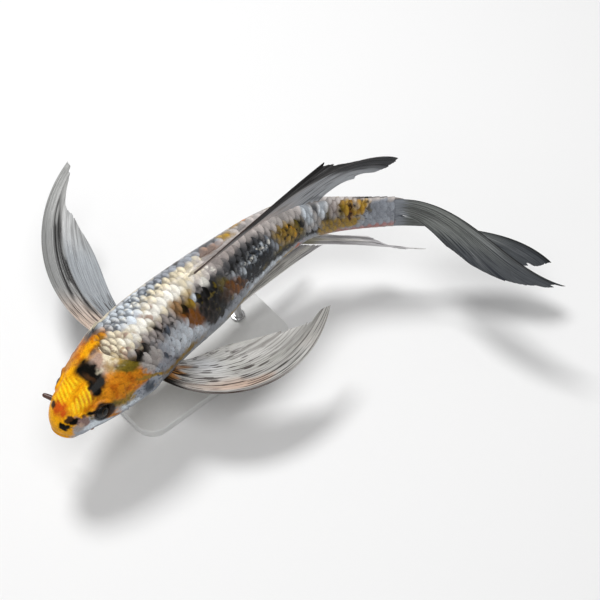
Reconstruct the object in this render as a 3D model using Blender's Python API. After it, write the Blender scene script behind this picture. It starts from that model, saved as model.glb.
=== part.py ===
"""Butterfly koi carp, life size, held by a plain two-rod display stand.

Metres, +Z up. The trunk lies along X with the snout towards -X, and the fish's left flank faces -Y.
The origin is the centre of the stand base's underside.
"""

import math

import bmesh
import bpy
from mathutils import Vector

MM = 0.001

# Driving dimensions of the fish
BODY_LENGTH = 334 * MM  # snout to the end of the tail stalk, along the spine
AXIS_HEIGHT = 80 * MM  # spine of the trunk above the floor
SNOUT = Vector((-142, -24, 0)) * MM  # where the spine starts, in plan
GAP = 0.35 * MM  # kept between neighbouring solids

# Spine heading in degrees from +X, and its height over the trunk's axis in mm, by share of body length
HEADING = (
    (0.00, 9), (0.08, 11), (0.18, 10), (0.30, 7), (0.42, 3), (0.55, 8), (0.66, 1), (0.75, -9),
    (0.82, -32), (0.90, -38), (1.00, -41),
)
RISE = ((0.00, -7), (0.10, -4), (0.24, -1), (0.40, 0), (0.75, 0), (1.00, 2))

# Half width, height over the spine and depth under it, in mm, by share of body length
HALF_WIDTH = (
    (0.00, 15.0), (0.05, 17.5), (0.09, 22.5), (0.155, 28.3), (0.23, 31.0), (0.34, 28.6), (0.47, 25.8),
    (0.59, 20.4), (0.70, 16.8), (0.79, 13.0), (0.86, 10.4), (0.92, 8.6), (1.00, 5.0),
)
HEIGHT = (
    (0.00, 13.5), (0.05, 17.5), (0.09, 22.0), (0.155, 28.0), (0.23, 33.5), (0.34, 38.0), (0.47, 39.0),
    (0.59, 34.0), (0.70, 27.5), (0.79, 21.5), (0.86, 18.4), (0.92, 17.4), (1.00, 18.5),
)
DEPTH = (
    (0.00, 12.5), (0.05, 16.5), (0.09, 20.0), (0.155, 26.0), (0.23, 32.0), (0.34, 37.5), (0.47, 38.5),
    (0.59, 34.0), (0.70, 27.5), (0.79, 21.5), (0.86, 18.2), (0.92, 17.2), (1.00, 18.0),
)
SQUARENESS = ((0.00, 2.2), (0.10, 2.35), (0.25, 2.25), (0.45, 2.05), (1.00, 2.0))  # 2 is an ellipse
NOSE_SHARE = 0.05  # the share of the body length that rounds off the snout

# Where the body is parted: the cut's place on the back and how far further aft it lies on the flanks
HEAD_END, HEAD_BULGE = 0.168, 0.082
TRUNK_SPLIT = 0.55
STALK_START = 0.80

AROUND = 30
HEAD_RINGS, FRONT_RINGS, REAR_RINGS, STALK_RINGS = 12, 9, 10, 6

# Head details, placed by share of body length and angle from the back's ridge
EYE_SHARE, EYE_ANGLE, EYE_RADIUS, EYE_DEPTH = 0.091, math.radians(76), 6.3 * MM, 4.2 * MM
GILL_CENTRE, GILL_AHEAD, GILL_RIM = 0.180, 0.042, 0.010
GILL_ANGLE, GILL_SWEEP = math.radians(98), math.radians(46)
GILL_PROUD, GILL_THICK = 0.5 * MM, 2.6 * MM
# The lower jaw's block from the side, in mm aft of and over the snout, its middle and half its width
JAW_OUTLINE = ((-6, -6), (11, -7.5), (24, -13.5), (37, -45), (-6, -45))
JAW_MIDDLE, JAW_REACH = (12, -30), 32

# Barbels: side of the fish, share, angle, length, root radius, (heading, pitch) at the root and at the tip
BARBELS = {
    "barbel_right": (-1, 0.066, 118, 16 * MM, 2.2 * MM, (102, -4), (124, 10)),
    "barbel_left": (1, 0.066, 130, 15 * MM, 2.1 * MM, (70, -62), (40, -40)),
    "lip_barbel_right": (-1, 0.034, 128, 6 * MM, 1.2 * MM, (120, -60), (100, -75)),
    "lip_barbel_left": (1, 0.034, 134, 6 * MM, 1.2 * MM, (60, -70), (50, -60)),
}

# Each fin: base gives the (share of body length, degrees from the ridge) of its first and last ray, and a
# row of rays gives u from 0 to 1 across the fin, the length in mm, and heading and pitch in degrees at the
# ray's root, middle and tip.
DORSAL = {
    "base": ((0.425, 8), (0.815, 2)),
    "rays": (
        (0.00, 133, -9, 26, -8, 26, 0, 8),
        (0.12, 126, -14, 25, -10, 26, -5, 5),
        (0.30, 133, -8, 20, -15, 25, -36, 8),
        (0.55, 125, -14, 20, -23, 29, -48, 0),
        (0.80, 82, -20, 20, -30, 34, -58, -2),
        (1.00, 39, -10, 38, -34, 46, -42, 18),
    ),
}
TAIL_UPPER = {
    "base": ((0.995, 8), (0.995, 84)),
    "rays": (
        (0.00, 154, -36, 4, -82, -8, -65, 6),
        (0.30, 140, -40, 1, -84, -8, -68, 5),
        (0.60, 117, -38, -2, -87, -6, -80, -4),
        (0.85, 83, -37, -7, -86, -5, -90, -11),
        (1.00, 52, -36, -8, -79, -8, -85, -14),
    ),
}
TAIL_LOWER = {
    "base": ((0.995, 98), (0.995, 172)),
    "rays": (
        (0.00, 48, -31, -8, -53, -20, -90, -9),
        (0.30, 85, -31, 0, -59, -14, -78, -11),
        (0.60, 118, -34, 0, -55, -12, -82, -5),
        (1.00, 136, -38, -10, -46, -8, -90, -7),
    ),
}
PECTORAL_LEFT = {
    "base": ((0.262, 126), (0.318, 112)),
    "rays": (
        (0.00, 169, -76, 4, -15, 0, 38, 22),
        (0.30, 149, -74, 4, -13, 0, 22, 22),
        (0.55, 114, -62, 2, -20, 1, 12, 18),
        (0.80, 83, -42, -14, -22, 6, 0, 4),
        (1.00, 42, -32, -16, -18, 6, -28, 0),
    ),
}
PECTORAL_RIGHT = {
    "base": ((0.262, -126), (0.318, -112)),
    "rays": (
        (0.00, 191, 112, 0, 65, 7, 16, 13),
        (0.30, 177, 113, -2, 65, 8, 22, 9),
        (0.50, 133, 101, -4, 74, 6, 40, 10),
        (0.70, 119, 101, -6, 72, 6, 52, 8),
        (1.00, 98, 92, -6, 70, 2, 86, 3),
    ),
}
PELVIC_LEFT = {
    "base": ((0.490, 140), (0.525, 158)),
    "rays": (
        (0.00, 110, 10, -10, 4, -4, -5, 2),
        (0.50, 98, 8, -10, 7, -2, -6, 3),
        (1.00, 82, 10, -12, 12, 2, -14, 10),
    ),
}
PELVIC_RIGHT = {
    "base": ((0.490, -140), (0.525, -158)),
    "rays": (
        (0.00, 106, 9, -18, 1, -2, 4, 1),
        (0.50, 95, 10, -16, -2, -2, 2, 1),
        (1.00, 60, 16, -20, -6, -6, 0, 0),
    ),
}
ANAL = {
    "base": ((0.735, 180), (0.800, 180)),
    "rays": (
        (0.00, 116, -29, -10, -37, -10, -44, 2),
        (0.50, 80, -38, -18, -32, -14, -62, 0),
        (1.00, 50, -37, -22, -28, -20, -40, -6),
    ),
}

FIN_ROOT_THICK, FIN_TIP_THICK, FIN_SUNK = 2.4 * MM, 0.9 * MM, 2.5 * MM
FIN_THIN_BY = 0.62  # share of a ray's length over which the fin thins

# Stand
BASE_LONG, BASE_WIDE, BASE_THICK, BASE_CORNER = 150 * MM, 84 * MM, 8 * MM, 16 * MM
BASE_EASE = 1.2 * MM
ROD_RADIUS, ROD_INTO_BELLY = 3 * MM, 6 * MM
ROD_SHARES = {"stand_rod_front": 0.36, "stand_rod_rear": 0.58}


def interpolate(table, x):
    """Monotone cubic through the table's (x, value) rows."""
    xs = [row[0] for row in table]
    ys = [row[1] for row in table]
    if x <= xs[0]:
        return ys[0]
    if x >= xs[-1]:
        return ys[-1]
    slopes = [(ys[k + 1] - ys[k]) / (xs[k + 1] - xs[k]) for k in range(len(xs) - 1)]
    k = max(i for i in range(len(slopes)) if xs[i] <= x)

    def tangent(i):
        if i in (0, len(slopes)):
            return slopes[0 if i == 0 else -1]
        before, after = slopes[i - 1], slopes[i]
        return 0.0 if before * after <= 0 else 2 * before * after / (before + after)

    step = xs[k + 1] - xs[k]
    t = (x - xs[k]) / step
    return (
        (2 * t**3 - 3 * t**2 + 1) * ys[k]
        + (t**3 - 2 * t**2 + t) * step * tangent(k)
        + (3 * t**2 - 2 * t**3) * ys[k + 1]
        + (t**3 - t**2) * step * tangent(k + 1)
    )


def build_spine(steps=400):
    """Points of the spine, by equal steps of arc length, from its heading."""
    point = SNOUT.copy()
    points = [point.copy()]
    for k in range(steps):
        heading = math.radians(interpolate(HEADING, (k + 0.5) / steps))
        point += Vector((math.cos(heading), math.sin(heading), 0)) * (BODY_LENGTH / steps)
        points.append(point.copy())
    return points


SPINE = build_spine()


def spine_point(share):
    at = min(max(share, 0), 1) * (len(SPINE) - 1)
    k = min(int(at), len(SPINE) - 2)
    point = SPINE[k].lerp(SPINE[k + 1], at - k)
    point.z = AXIS_HEIGHT + interpolate(RISE, share) * MM
    return point


def spine_side(share):
    """Unit vector towards the fish's left, level."""
    heading = math.radians(interpolate(HEADING, share))
    return Vector((math.sin(heading), -math.cos(heading), 0))


def nose_factor(share):
    return math.sqrt(max(0.0, 1 - (1 - min(share / NOSE_SHARE, 1)) ** 2))


def body_point(share, angle, proud=0.0):
    """A point of the skin, moved outwards by proud. angle runs from the ridge round by the left flank."""
    round_off = nose_factor(share)
    power = 2 / interpolate(SQUARENESS, share)
    across, up = math.sin(angle), math.cos(angle)
    tall = interpolate(HEIGHT if up > 0 else DEPTH, share) * MM
    wide = interpolate(HALF_WIDTH, share) * MM
    side = math.copysign(abs(across) ** power, across) * (wide * round_off + proud)
    rise = math.copysign(abs(up) ** power, up) * (tall * round_off + proud)
    return spine_point(share) + spine_side(share) * side + Vector((0, 0, rise))


def material(name, colour, roughness, metallic=0.0):
    made = bpy.data.materials.new(name)
    made.use_nodes = True
    shader = made.node_tree.nodes["Principled BSDF"]
    shader.inputs["Base Color"].default_value = (*colour, 1)
    shader.inputs["Roughness"].default_value = roughness
    shader.inputs["Metallic"].default_value = metallic
    made.diffuse_color = (*colour, 1)
    return made


def add_object(name, mesh_data, finish):
    mesh_data.materials.append(finish)
    made = bpy.data.objects.new(name, mesh_data)
    bpy.context.scene.collection.objects.link(made)
    return made


def closed_mesh(name, points, faces):
    """A mesh whose faces are turned to point outwards."""
    made = bpy.data.meshes.new(name)
    made.from_pydata(points, [], faces)
    work = bmesh.new()
    work.from_mesh(made)
    bmesh.ops.recalc_face_normals(work, faces=work.faces)
    if work.calc_volume(signed=True) < 0:
        bmesh.ops.reverse_faces(work, faces=work.faces)
    work.to_mesh(made)
    work.free()
    made.shade_smooth()
    return made


def as_cutter(thing):
    thing.hide_render = True
    thing.display_type = "WIRE"
    return thing


def boolean(target, cutter, operation="DIFFERENCE"):
    modifier = target.modifiers.new(f"{operation.lower()}_{cutter.name}", "BOOLEAN")
    modifier.object = cutter
    modifier.operation = operation
    modifier.solver = "EXACT"


# Body


def loft(name, rings, front_centre=None, back_centre=None):
    """A closed mesh over rings of AROUND points each, ended by a point or a fan at each end."""
    points = [point for ring in rings for point in ring]
    faces = []
    for k in range(len(rings) - 1):
        for j in range(AROUND):
            a, b = k * AROUND + j, k * AROUND + (j + 1) % AROUND
            faces.append((a, b, b + AROUND, a + AROUND))
    for centre, ring in ((front_centre, 0), (back_centre, len(rings) - 1)):
        hub = len(points)
        points.append(centre)
        for j in range(AROUND):
            faces.append((hub, ring * AROUND + j, ring * AROUND + (j + 1) % AROUND))
    return closed_mesh(name, points, faces)


def ring_at(share_of_angle, proud=0.0):
    angles = [2 * math.pi * j / AROUND for j in range(AROUND)]
    return [body_point(share_of_angle(angle), angle, proud) for angle in angles]


def gill_line(angle):
    """Share of body length where the head ends, further aft on the flanks than on the back and throat."""
    return HEAD_END + HEAD_BULGE * math.sin(angle) ** 2


def nose_rings(proud=0.0, count=5):
    """Rings over the rounded snout, spaced evenly round its curve."""
    shares = [NOSE_SHARE * (1 - math.cos(math.radians(90 * k / count))) for k in range(1, count + 1)]
    return [ring_at(lambda angle, share=share: share, proud) for share in shares]


def head_mesh(name):
    rings = nose_rings()
    for k in range(1, HEAD_RINGS + 1):
        mix = k / HEAD_RINGS
        rings.append(ring_at(lambda angle, m=mix: NOSE_SHARE + (gill_line(angle) - NOSE_SHARE) * m))
    return loft(name, rings, spine_point(0), spine_point(HEAD_END))


def body_length(name, start, end, count, finish):
    """One length of the body between two cuts; start and end give the share of body length by angle."""
    gap = GAP / BODY_LENGTH
    rings = []
    for k in range(count + 1):
        mix = k / count
        rings.append(ring_at(lambda angle, m=mix: start(angle) + gap + (end(angle) - start(angle) - gap) * m))
    hubs = [spine_point(start(0) + gap), spine_point(end(0))]
    return add_object(name, loft(name, rings, *hubs), finish)


def clearance_body():
    """The whole body, a gap proud of the skin, to trim whatever joins it."""
    shares = [NOSE_SHARE + (1 - NOSE_SHARE) * k / 60 for k in range(1, 61)]
    rings = nose_rings(GAP) + [ring_at(lambda angle, share=share: share, GAP) for share in shares]
    back = spine_point(1) + (spine_point(1) - spine_point(0.99)).normalized() * GAP
    rings.append([point + (back - spine_point(1)) for point in rings[-1]])
    front = spine_point(0) - (spine_point(0.01) - spine_point(0)).normalized() * GAP
    return as_cutter(add_object("clearance_body", loft("clearance_body", rings, front, back), SKIN))


def eye_centre(side):
    """The middle of an eyeball, sunk under the skin. side is 1 for the left and -1 for the right."""
    angle = side * EYE_ANGLE
    skin = body_point(EYE_SHARE, angle)
    return skin + (skin - body_point(EYE_SHARE, angle, 1 * MM)).normalized() * EYE_DEPTH


def ball(name, centre, radius, finish):
    made = bpy.data.meshes.new(name)
    work = bmesh.new()
    bmesh.ops.create_icosphere(work, subdivisions=3, radius=radius)
    bmesh.ops.translate(work, verts=work.verts, vec=centre)
    work.to_mesh(made)
    work.free()
    made.shade_smooth()
    return add_object(name, made, finish)


def gill_patch(name, side, proud, sunk, grow, finish, around=20, steps=3):
    """A curved plate over the cheek, between proud of the skin and sunk under it, widened by grow."""
    points, faces = [], []
    for offset in (proud, -sunk):
        for r in range(1, steps + 1):
            for k in range(around):
                turn = 2 * math.pi * k / around
                angle = GILL_ANGLE + (GILL_SWEEP + grow / (30 * MM)) * math.sin(turn) * r / steps
                aft = gill_line(angle) - GILL_RIM - GILL_CENTRE
                reach = (aft if math.cos(turn) > 0 else GILL_AHEAD) + grow / BODY_LENGTH
                share = GILL_CENTRE + reach * math.cos(turn) * r / steps
                points.append(body_point(share, side * angle, offset))
    layer = around * steps
    for side_of_plate in (0, layer):
        hub = len(points)
        offset = proud if side_of_plate == 0 else -sunk
        points.append(body_point(GILL_CENTRE, side * GILL_ANGLE, offset))
        for k in range(around):
            n = (k + 1) % around
            faces.append((hub, side_of_plate + k, side_of_plate + n))
            for r in range(steps - 1):
                low = side_of_plate + r * around
                faces.append((low + k, low + n, low + around + n, low + around + k))
    rim = around * (steps - 1)
    for k in range(around):
        n = (k + 1) % around
        faces.append((rim + k, rim + n, layer + rim + n, layer + rim + k))
    return add_object(name, closed_mesh(name, points, faces), finish)


def jaw_block(name, shrink):
    """A block across the front of the throat that holds the lower jaw, drawn in by shrink."""
    aft = (spine_point(0.05) - spine_point(0)).normalized()
    aft.z = 0
    side = spine_side(0.03)
    corners = [Vector((x, 0, z)) for x, z in JAW_OUTLINE]
    middle = Vector((JAW_MIDDLE[0], 0, JAW_MIDDLE[1]))
    outline = [c + (middle - c).normalized() * shrink / MM for c in corners]
    points = []
    for across in (-JAW_REACH, JAW_REACH):
        for corner in outline:
            points.append(spine_point(0) + (aft * corner.x + side * across + Vector((0, 0, corner.z))) * MM)
    n = len(outline)
    faces = [tuple(range(n)), tuple(range(2 * n - 1, n - 1, -1))]
    faces += [(k, (k + 1) % n, (k + 1) % n + n, k + n) for k in range(n)]
    return as_cutter(add_object(name, closed_mesh(name, points, faces), SKIN))


def barbel(name, side, share, angle, length, radius, start, end):
    """A tapered feeler that leaves the lip with one (heading, pitch) and ends with another, in degrees."""
    base = body_point(share, side * math.radians(angle), -1.5 * MM)
    middle = [(a + b) / 2 for a, b in zip(start, end)]
    path = ray_path(base, length, start, middle, end, 9)
    sides = 8
    points, faces = [], []
    for k, point in enumerate(path):
        along = (path[min(k + 1, len(path) - 1)] - path[max(k - 1, 0)]).normalized()
        first = along.orthogonal().normalized()
        second = along.cross(first)
        thick = radius * (1 - 0.62 * (k / (len(path) - 1)) ** 1.5)
        for j in range(sides):
            turn = 2 * math.pi * j / sides
            points.append(point + (first * math.cos(turn) + second * math.sin(turn)) * thick)
    for k in range(len(path) - 1):
        for j in range(sides):
            n = (j + 1) % sides
            faces.append((k * sides + j, k * sides + n, (k + 1) * sides + n, (k + 1) * sides + j))
    faces.append(tuple(range(sides)))
    tip = len(points)
    points.append(path[-1] + (path[-1] - path[-2]).normalized() * radius * 0.5)
    last = (len(path) - 1) * sides
    faces += [(last + j, last + (j + 1) % sides, tip) for j in range(sides)]
    made = add_object(name, closed_mesh(name, points, faces), BARBEL)
    boolean(made, CLEARANCE)
    return made


# Fins


def direction(heading, pitch):
    heading, pitch = math.radians(heading), math.radians(pitch)
    return Vector(
        (math.cos(heading) * math.cos(pitch), math.sin(heading) * math.cos(pitch), math.sin(pitch))
    )


def ray_path(base, length, start, middle, end, steps):
    """Points along a fin ray whose (heading, pitch) turns from start by middle to end."""
    point = base.copy()
    path = [point.copy()]
    for k in range(steps):
        t = (k + 0.5) / steps
        weights = ((1 - t) * (1 - 2 * t), 4 * t * (1 - t), t * (2 * t - 1))
        heading, pitch = (
            sum(w * angles[i] for w, angles in zip(weights, (start, middle, end))) for i in (0, 1)
        )
        point += direction(heading, pitch) * (length / steps)
        path.append(point.copy())
    return path


def fin_surface(fin, across, along):
    """Rows of points, one row for each ray from the fin's leading edge to its trailing edge."""
    rows = []
    for i in range(across + 1):
        u = i / across
        share = fin["base"][0][0] + (fin["base"][1][0] - fin["base"][0][0]) * u
        angle = math.radians(fin["base"][0][1] + (fin["base"][1][1] - fin["base"][0][1]) * u)
        base = body_point(share, angle, -FIN_SUNK)
        values = [interpolate([(row[0], row[k]) for row in fin["rays"]], u) for k in range(1, 8)]
        length = values[0] * MM
        rows.append(ray_path(base, length, values[1:3], values[3:5], values[5:7], along))
    return rows


def fin_solid(name, fin, across, along, finish):
    """A thin closed blade round the fin's surface, thickest at its root."""
    rows = fin_surface(fin, across, along)
    points, faces = [], []
    for face in (1, -1):
        for i, row in enumerate(rows):
            for j, point in enumerate(row):
                over = rows[min(i + 1, across)][j] - rows[max(i - 1, 0)][j]
                down = row[min(j + 1, along)] - row[max(j - 1, 0)]
                normal = over.cross(down).normalized()
                thick = FIN_ROOT_THICK + (FIN_TIP_THICK - FIN_ROOT_THICK) * min(1, j / along / FIN_THIN_BY)
                points.append(point + normal * face * thick / 2)
    width = along + 1
    layer = (across + 1) * width
    for i in range(across):
        for j in range(along):
            a = i * width + j
            faces.append((a, a + width, a + width + 1, a + 1))
            faces.append((a + layer, a + 1 + layer, a + width + 1 + layer, a + width + layer))
    border = [j for j in range(along)]
    border += [i * width + along for i in range(across)]
    border += [across * width + along - j for j in range(along)]
    border += [(across - i) * width for i in range(across)]
    for k, a in enumerate(border):
        b = border[(k + 1) % len(border)]
        faces.append((a, b, b + layer, a + layer))
    made = add_object(name, closed_mesh(name, points, faces), finish)
    boolean(made, CLEARANCE)
    return made


def stand_base():
    """A flat plate with rounded corners, its top edge eased, resting at z = 0."""
    made = bpy.data.meshes.new("stand_base")
    work = bmesh.new()
    steps = 6
    outline = []
    for quarter in range(4):
        turn = math.pi / 2 * quarter
        sign_x = 1 if quarter in (0, 3) else -1
        sign_y = 1 if quarter in (0, 1) else -1
        for k in range(steps + 1):
            angle = turn + math.pi / 2 * k / steps
            outline.append(
                (
                    sign_x * (BASE_LONG / 2 - BASE_CORNER) + BASE_CORNER * math.cos(angle),
                    sign_y * (BASE_WIDE / 2 - BASE_CORNER) + BASE_CORNER * math.sin(angle),
                    0,
                )
            )
    face = work.faces.new([work.verts.new(point) for point in outline])
    top = bmesh.ops.extrude_face_region(work, geom=[face])
    raised = [part for part in top["geom"] if isinstance(part, bmesh.types.BMVert)]
    bmesh.ops.translate(work, verts=raised, vec=(0, 0, BASE_THICK))
    rim = [edge for edge in work.edges if all(abs(v.co.z - BASE_THICK) < 1e-6 for v in edge.verts)]
    bmesh.ops.bevel(work, geom=rim, offset=BASE_EASE, segments=2, profile=0.5, affect="EDGES")
    bmesh.ops.recalc_face_normals(work, faces=work.faces)
    work.to_mesh(made)
    work.free()
    return add_object("stand_base", made, STAND_PLATE)


def stand_rod(name, share):
    """A round rod from the plate up into the belly, trimmed to the skin."""
    foot = spine_point(share)
    low, high = BASE_THICK + GAP, foot.z - interpolate(DEPTH, share) * MM + ROD_INTO_BELLY
    made = bpy.data.meshes.new(name)
    work = bmesh.new()
    bmesh.ops.create_cone(
        work, cap_ends=True, segments=20, radius1=ROD_RADIUS, radius2=ROD_RADIUS, depth=high - low
    )
    bmesh.ops.translate(work, verts=work.verts, vec=(foot.x, foot.y, (low + high) / 2))
    work.to_mesh(made)
    work.free()
    rod = add_object(name, made, STAND_STEEL)
    boolean(rod, CLEARANCE)
    return rod


def build_head():
    head = add_object("head", head_mesh("head"), HEAD_SKIN)
    jaw = add_object("lower_jaw", head_mesh("lower_jaw"), HEAD_SKIN)
    boolean(head, jaw_block("jaw_cutter", 0.0))
    boolean(jaw, jaw_block("jaw_keeper", GAP * 1.4), "INTERSECT")
    for side, word in ((1, "left"), (-1, "right")):
        centre = eye_centre(side)
        ball(f"eye_{word}", centre, EYE_RADIUS, EYE)
        boolean(head, as_cutter(ball(f"socket_{word}", centre, EYE_RADIUS + GAP, EYE)))
        gill_patch(f"gill_cover_{word}", side, GILL_PROUD, GILL_THICK, 0, HEAD_SKIN)
        slot = gill_patch(f"gill_slot_{word}", side, 3 * MM, GILL_THICK + GAP, GAP, HEAD_SKIN)
        boolean(head, as_cutter(slot))


def build_trunk():
    body_length("trunk_front", gill_line, lambda angle: TRUNK_SPLIT, FRONT_RINGS, SKIN)
    body_length("trunk_rear", lambda angle: TRUNK_SPLIT, lambda angle: STALK_START, REAR_RINGS, SKIN)
    body_length("tail_stalk", lambda angle: STALK_START, lambda angle: 1.0, STALK_RINGS, SKIN)


def build_barbels():
    for name, shape in BARBELS.items():
        barbel(name, *shape)


def build_fins():
    fin_solid("dorsal_fin", DORSAL, 14, 10, FIN)
    fin_solid("tail_fin_upper", TAIL_UPPER, 6, 14, FIN)
    fin_solid("tail_fin_lower", TAIL_LOWER, 6, 12, FIN)
    fin_solid("pectoral_fin_left", PECTORAL_LEFT, 9, 14, FIN)
    fin_solid("pectoral_fin_right", PECTORAL_RIGHT, 9, 14, FIN)
    fin_solid("pelvic_fin_left", PELVIC_LEFT, 5, 9, FIN)
    fin_solid("pelvic_fin_right", PELVIC_RIGHT, 5, 9, FIN)
    fin_solid("anal_fin", ANAL, 5, 10, FIN)


for old in list(bpy.data.objects):
    bpy.data.objects.remove(old)
SKIN = material("koi_skin", (0.72, 0.68, 0.62), 0.35)
HEAD_SKIN = material("head_skin", (0.85, 0.48, 0.08), 0.35)
EYE = material("eye", (0.03, 0.025, 0.02), 0.08)
BARBEL = material("barbel", (0.16, 0.08, 0.05), 0.4)
FIN = material("fin", (0.50, 0.52, 0.52), 0.35)
STAND_PLATE = material("stand_plate", (0.82, 0.82, 0.80), 0.4)
STAND_STEEL = material("stand_steel", (0.62, 0.62, 0.62), 0.3, 1.0)
CLEARANCE = clearance_body()
build_head()
build_trunk()
build_barbels()
build_fins()
stand_base()
for rod_name, rod_share in ROD_SHARES.items():
    stand_rod(rod_name, rod_share)
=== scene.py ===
"""Looks of a life-size butterfly koi: skin, overlapping scales, rayed fins, eyes, barbels and the stand."""

import math

import bpy
import numpy as np
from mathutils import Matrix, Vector


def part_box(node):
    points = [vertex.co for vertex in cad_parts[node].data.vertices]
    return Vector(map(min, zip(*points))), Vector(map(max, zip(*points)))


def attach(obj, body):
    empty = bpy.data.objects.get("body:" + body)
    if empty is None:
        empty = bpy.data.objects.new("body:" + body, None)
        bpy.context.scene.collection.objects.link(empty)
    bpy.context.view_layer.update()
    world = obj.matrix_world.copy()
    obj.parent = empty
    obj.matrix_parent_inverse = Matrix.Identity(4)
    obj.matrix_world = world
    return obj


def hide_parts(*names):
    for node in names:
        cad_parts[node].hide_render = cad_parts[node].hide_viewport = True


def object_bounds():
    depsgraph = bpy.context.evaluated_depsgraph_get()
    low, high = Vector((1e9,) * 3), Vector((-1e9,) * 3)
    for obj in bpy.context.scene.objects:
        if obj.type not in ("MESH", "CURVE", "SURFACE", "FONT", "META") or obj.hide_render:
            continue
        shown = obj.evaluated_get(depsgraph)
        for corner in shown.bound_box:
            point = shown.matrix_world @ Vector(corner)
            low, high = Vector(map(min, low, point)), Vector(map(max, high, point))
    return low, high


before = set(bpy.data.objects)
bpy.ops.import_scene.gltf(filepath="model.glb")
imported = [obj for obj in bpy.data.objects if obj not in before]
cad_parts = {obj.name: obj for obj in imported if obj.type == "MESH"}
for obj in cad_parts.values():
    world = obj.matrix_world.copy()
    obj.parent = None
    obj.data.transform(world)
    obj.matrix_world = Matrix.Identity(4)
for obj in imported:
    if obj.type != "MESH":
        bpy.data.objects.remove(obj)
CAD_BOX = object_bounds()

MM = 0.001
FLESH = (
    "head", "lower_jaw", "gill_cover_left", "gill_cover_right", "trunk_front", "trunk_rear", "tail_stalk",
)

# The fish's own measures, the same as in the CAD source
BODY_LENGTH = 334 * MM  # snout to the end of the tail stalk, along the spine
AXIS_HEIGHT = 80 * MM
SNOUT = np.array((-142, -24, 0)) * MM
NOSE_SHARE = 0.05  # the share of the body length that rounds off the snout
HEAD_END, HEAD_BULGE = 0.168, 0.082  # where the head ends on the back, and how much later on the flanks
HEADING = (
    (0.00, 9), (0.08, 11), (0.18, 10), (0.30, 7), (0.42, 3), (0.55, 8), (0.66, 1), (0.75, -9),
    (0.82, -32), (0.90, -38), (1.00, -41),
)
RISE = ((0.00, -7), (0.10, -4), (0.24, -1), (0.40, 0), (0.75, 0), (1.00, 2))
HALF_WIDTH = (
    (0.00, 15.0), (0.05, 17.5), (0.09, 22.5), (0.155, 28.3), (0.23, 31.0), (0.34, 28.6), (0.47, 25.8),
    (0.59, 20.4), (0.70, 16.8), (0.79, 13.0), (0.86, 10.4), (0.92, 8.6), (1.00, 5.0),
)
HEIGHT = (
    (0.00, 13.5), (0.05, 17.5), (0.09, 22.0), (0.155, 28.0), (0.23, 33.5), (0.34, 38.0), (0.47, 39.0),
    (0.59, 34.0), (0.70, 27.5), (0.79, 21.5), (0.86, 18.4), (0.92, 17.4), (1.00, 18.5),
)
DEPTH = (
    (0.00, 12.5), (0.05, 16.5), (0.09, 20.0), (0.155, 26.0), (0.23, 32.0), (0.34, 37.5), (0.47, 38.5),
    (0.59, 34.0), (0.70, 27.5), (0.79, 21.5), (0.86, 18.2), (0.92, 17.2), (1.00, 18.0),
)
SQUARENESS = ((0.00, 2.2), (0.10, 2.35), (0.25, 2.25), (0.45, 2.05), (1.00, 2.0))
EYE_SHARE, EYE_ANGLE = 0.091, math.radians(76)
EYE_FLAT = 0.86  # how far the eyeball's front stands out, in its radii


# Small helpers


def table_curve(table, x):
    """Monotone cubic through the table's (x, value) rows, for a number or an array."""
    xs, ys = np.array(table, float).T
    slopes = np.diff(ys) / np.diff(xs)
    tangents = np.concatenate([slopes[:1], np.zeros(len(slopes) - 1), slopes[-1:]])
    before, after = slopes[:-1], slopes[1:]
    same_way = before * after > 0
    tangents[1:-1][same_way] = 2 * (before * after)[same_way] / (before + after)[same_way]
    x = np.clip(x, xs[0], xs[-1])
    k = np.clip(np.searchsorted(xs, x, side="right") - 1, 0, len(slopes) - 1)
    step = xs[k + 1] - xs[k]
    t = (x - xs[k]) / step
    return (
        (2 * t**3 - 3 * t**2 + 1) * ys[k]
        + (t**3 - 2 * t**2 + t) * step * tangents[k]
        + (3 * t**2 - 2 * t**3) * ys[k + 1]
        + (t**3 - t**2) * step * tangents[k + 1]
    )


def ramp(x, low, high):
    """0 below low, 1 above high and smooth between; with high under low it falls instead."""
    t = np.clip((x - low) / (high - low), 0, 1)
    return t * t * (3 - 2 * t)


def bump_at(x, width):
    return np.exp(-((x / width) ** 2))


def unit(v):
    return v / (np.linalg.norm(v, axis=-1, keepdims=True) + 1e-15)


def lattice(i, j, k, seed):
    """A repeatable number from 0 to 1 for each whole-number place."""
    n = i * 73856093 ^ j * 19349663 ^ k * 83492791 ^ np.int64(seed * 40503 + 977)
    n = (n ^ (n >> 13)) * 1274126177 & 0xFFFFFFFF
    n = (n ^ (n >> 15)) * 668265263 & 0xFFFFFFFF
    return ((n ^ (n >> 16)) & 0xFFFF) / 65535.0


def noise(x, y, z, size, seed=0):
    """Smooth noise from -1 to 1 with features about size across."""
    x, y, z = np.broadcast_arrays(*(np.asarray(c, float) / size for c in (x, y, z)))
    cells = [np.floor(c).astype(np.int64) for c in (x, y, z)]
    parts = [c - cell for c, cell in zip((x, y, z), cells)]
    parts = [p * p * (3 - 2 * p) for p in parts]
    total = 0
    for corner in range(8):
        at = [corner & 1, corner >> 1 & 1, corner >> 2]
        weight = 1
        for p, c in zip(parts, at):
            weight = weight * (p if c else 1 - p)
        total = total + weight * lattice(*(cell + c for cell, c in zip(cells, at)), seed)
    return total * 2 - 1


def hue(colour):
    """A pigment's name, or a colour as it looks on a screen from 0 to 255, as linear light."""
    c = np.array(PIGMENTS.get(colour, colour)) / 255
    return np.where(c <= 0.04045, c / 12.92, ((c + 0.055) / 1.055) ** 2.4)


def mix(a, b, share):
    share = np.asarray(share)[..., None]
    return a * (1 - share) + b * share


def layered(colours, *layers):
    """Colours with layers laid over them in turn; a layer is a hue and how far it covers."""
    for colour, cover in layers:
        colours = mix(colours, hue(colour), cover)
    return colours


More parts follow.
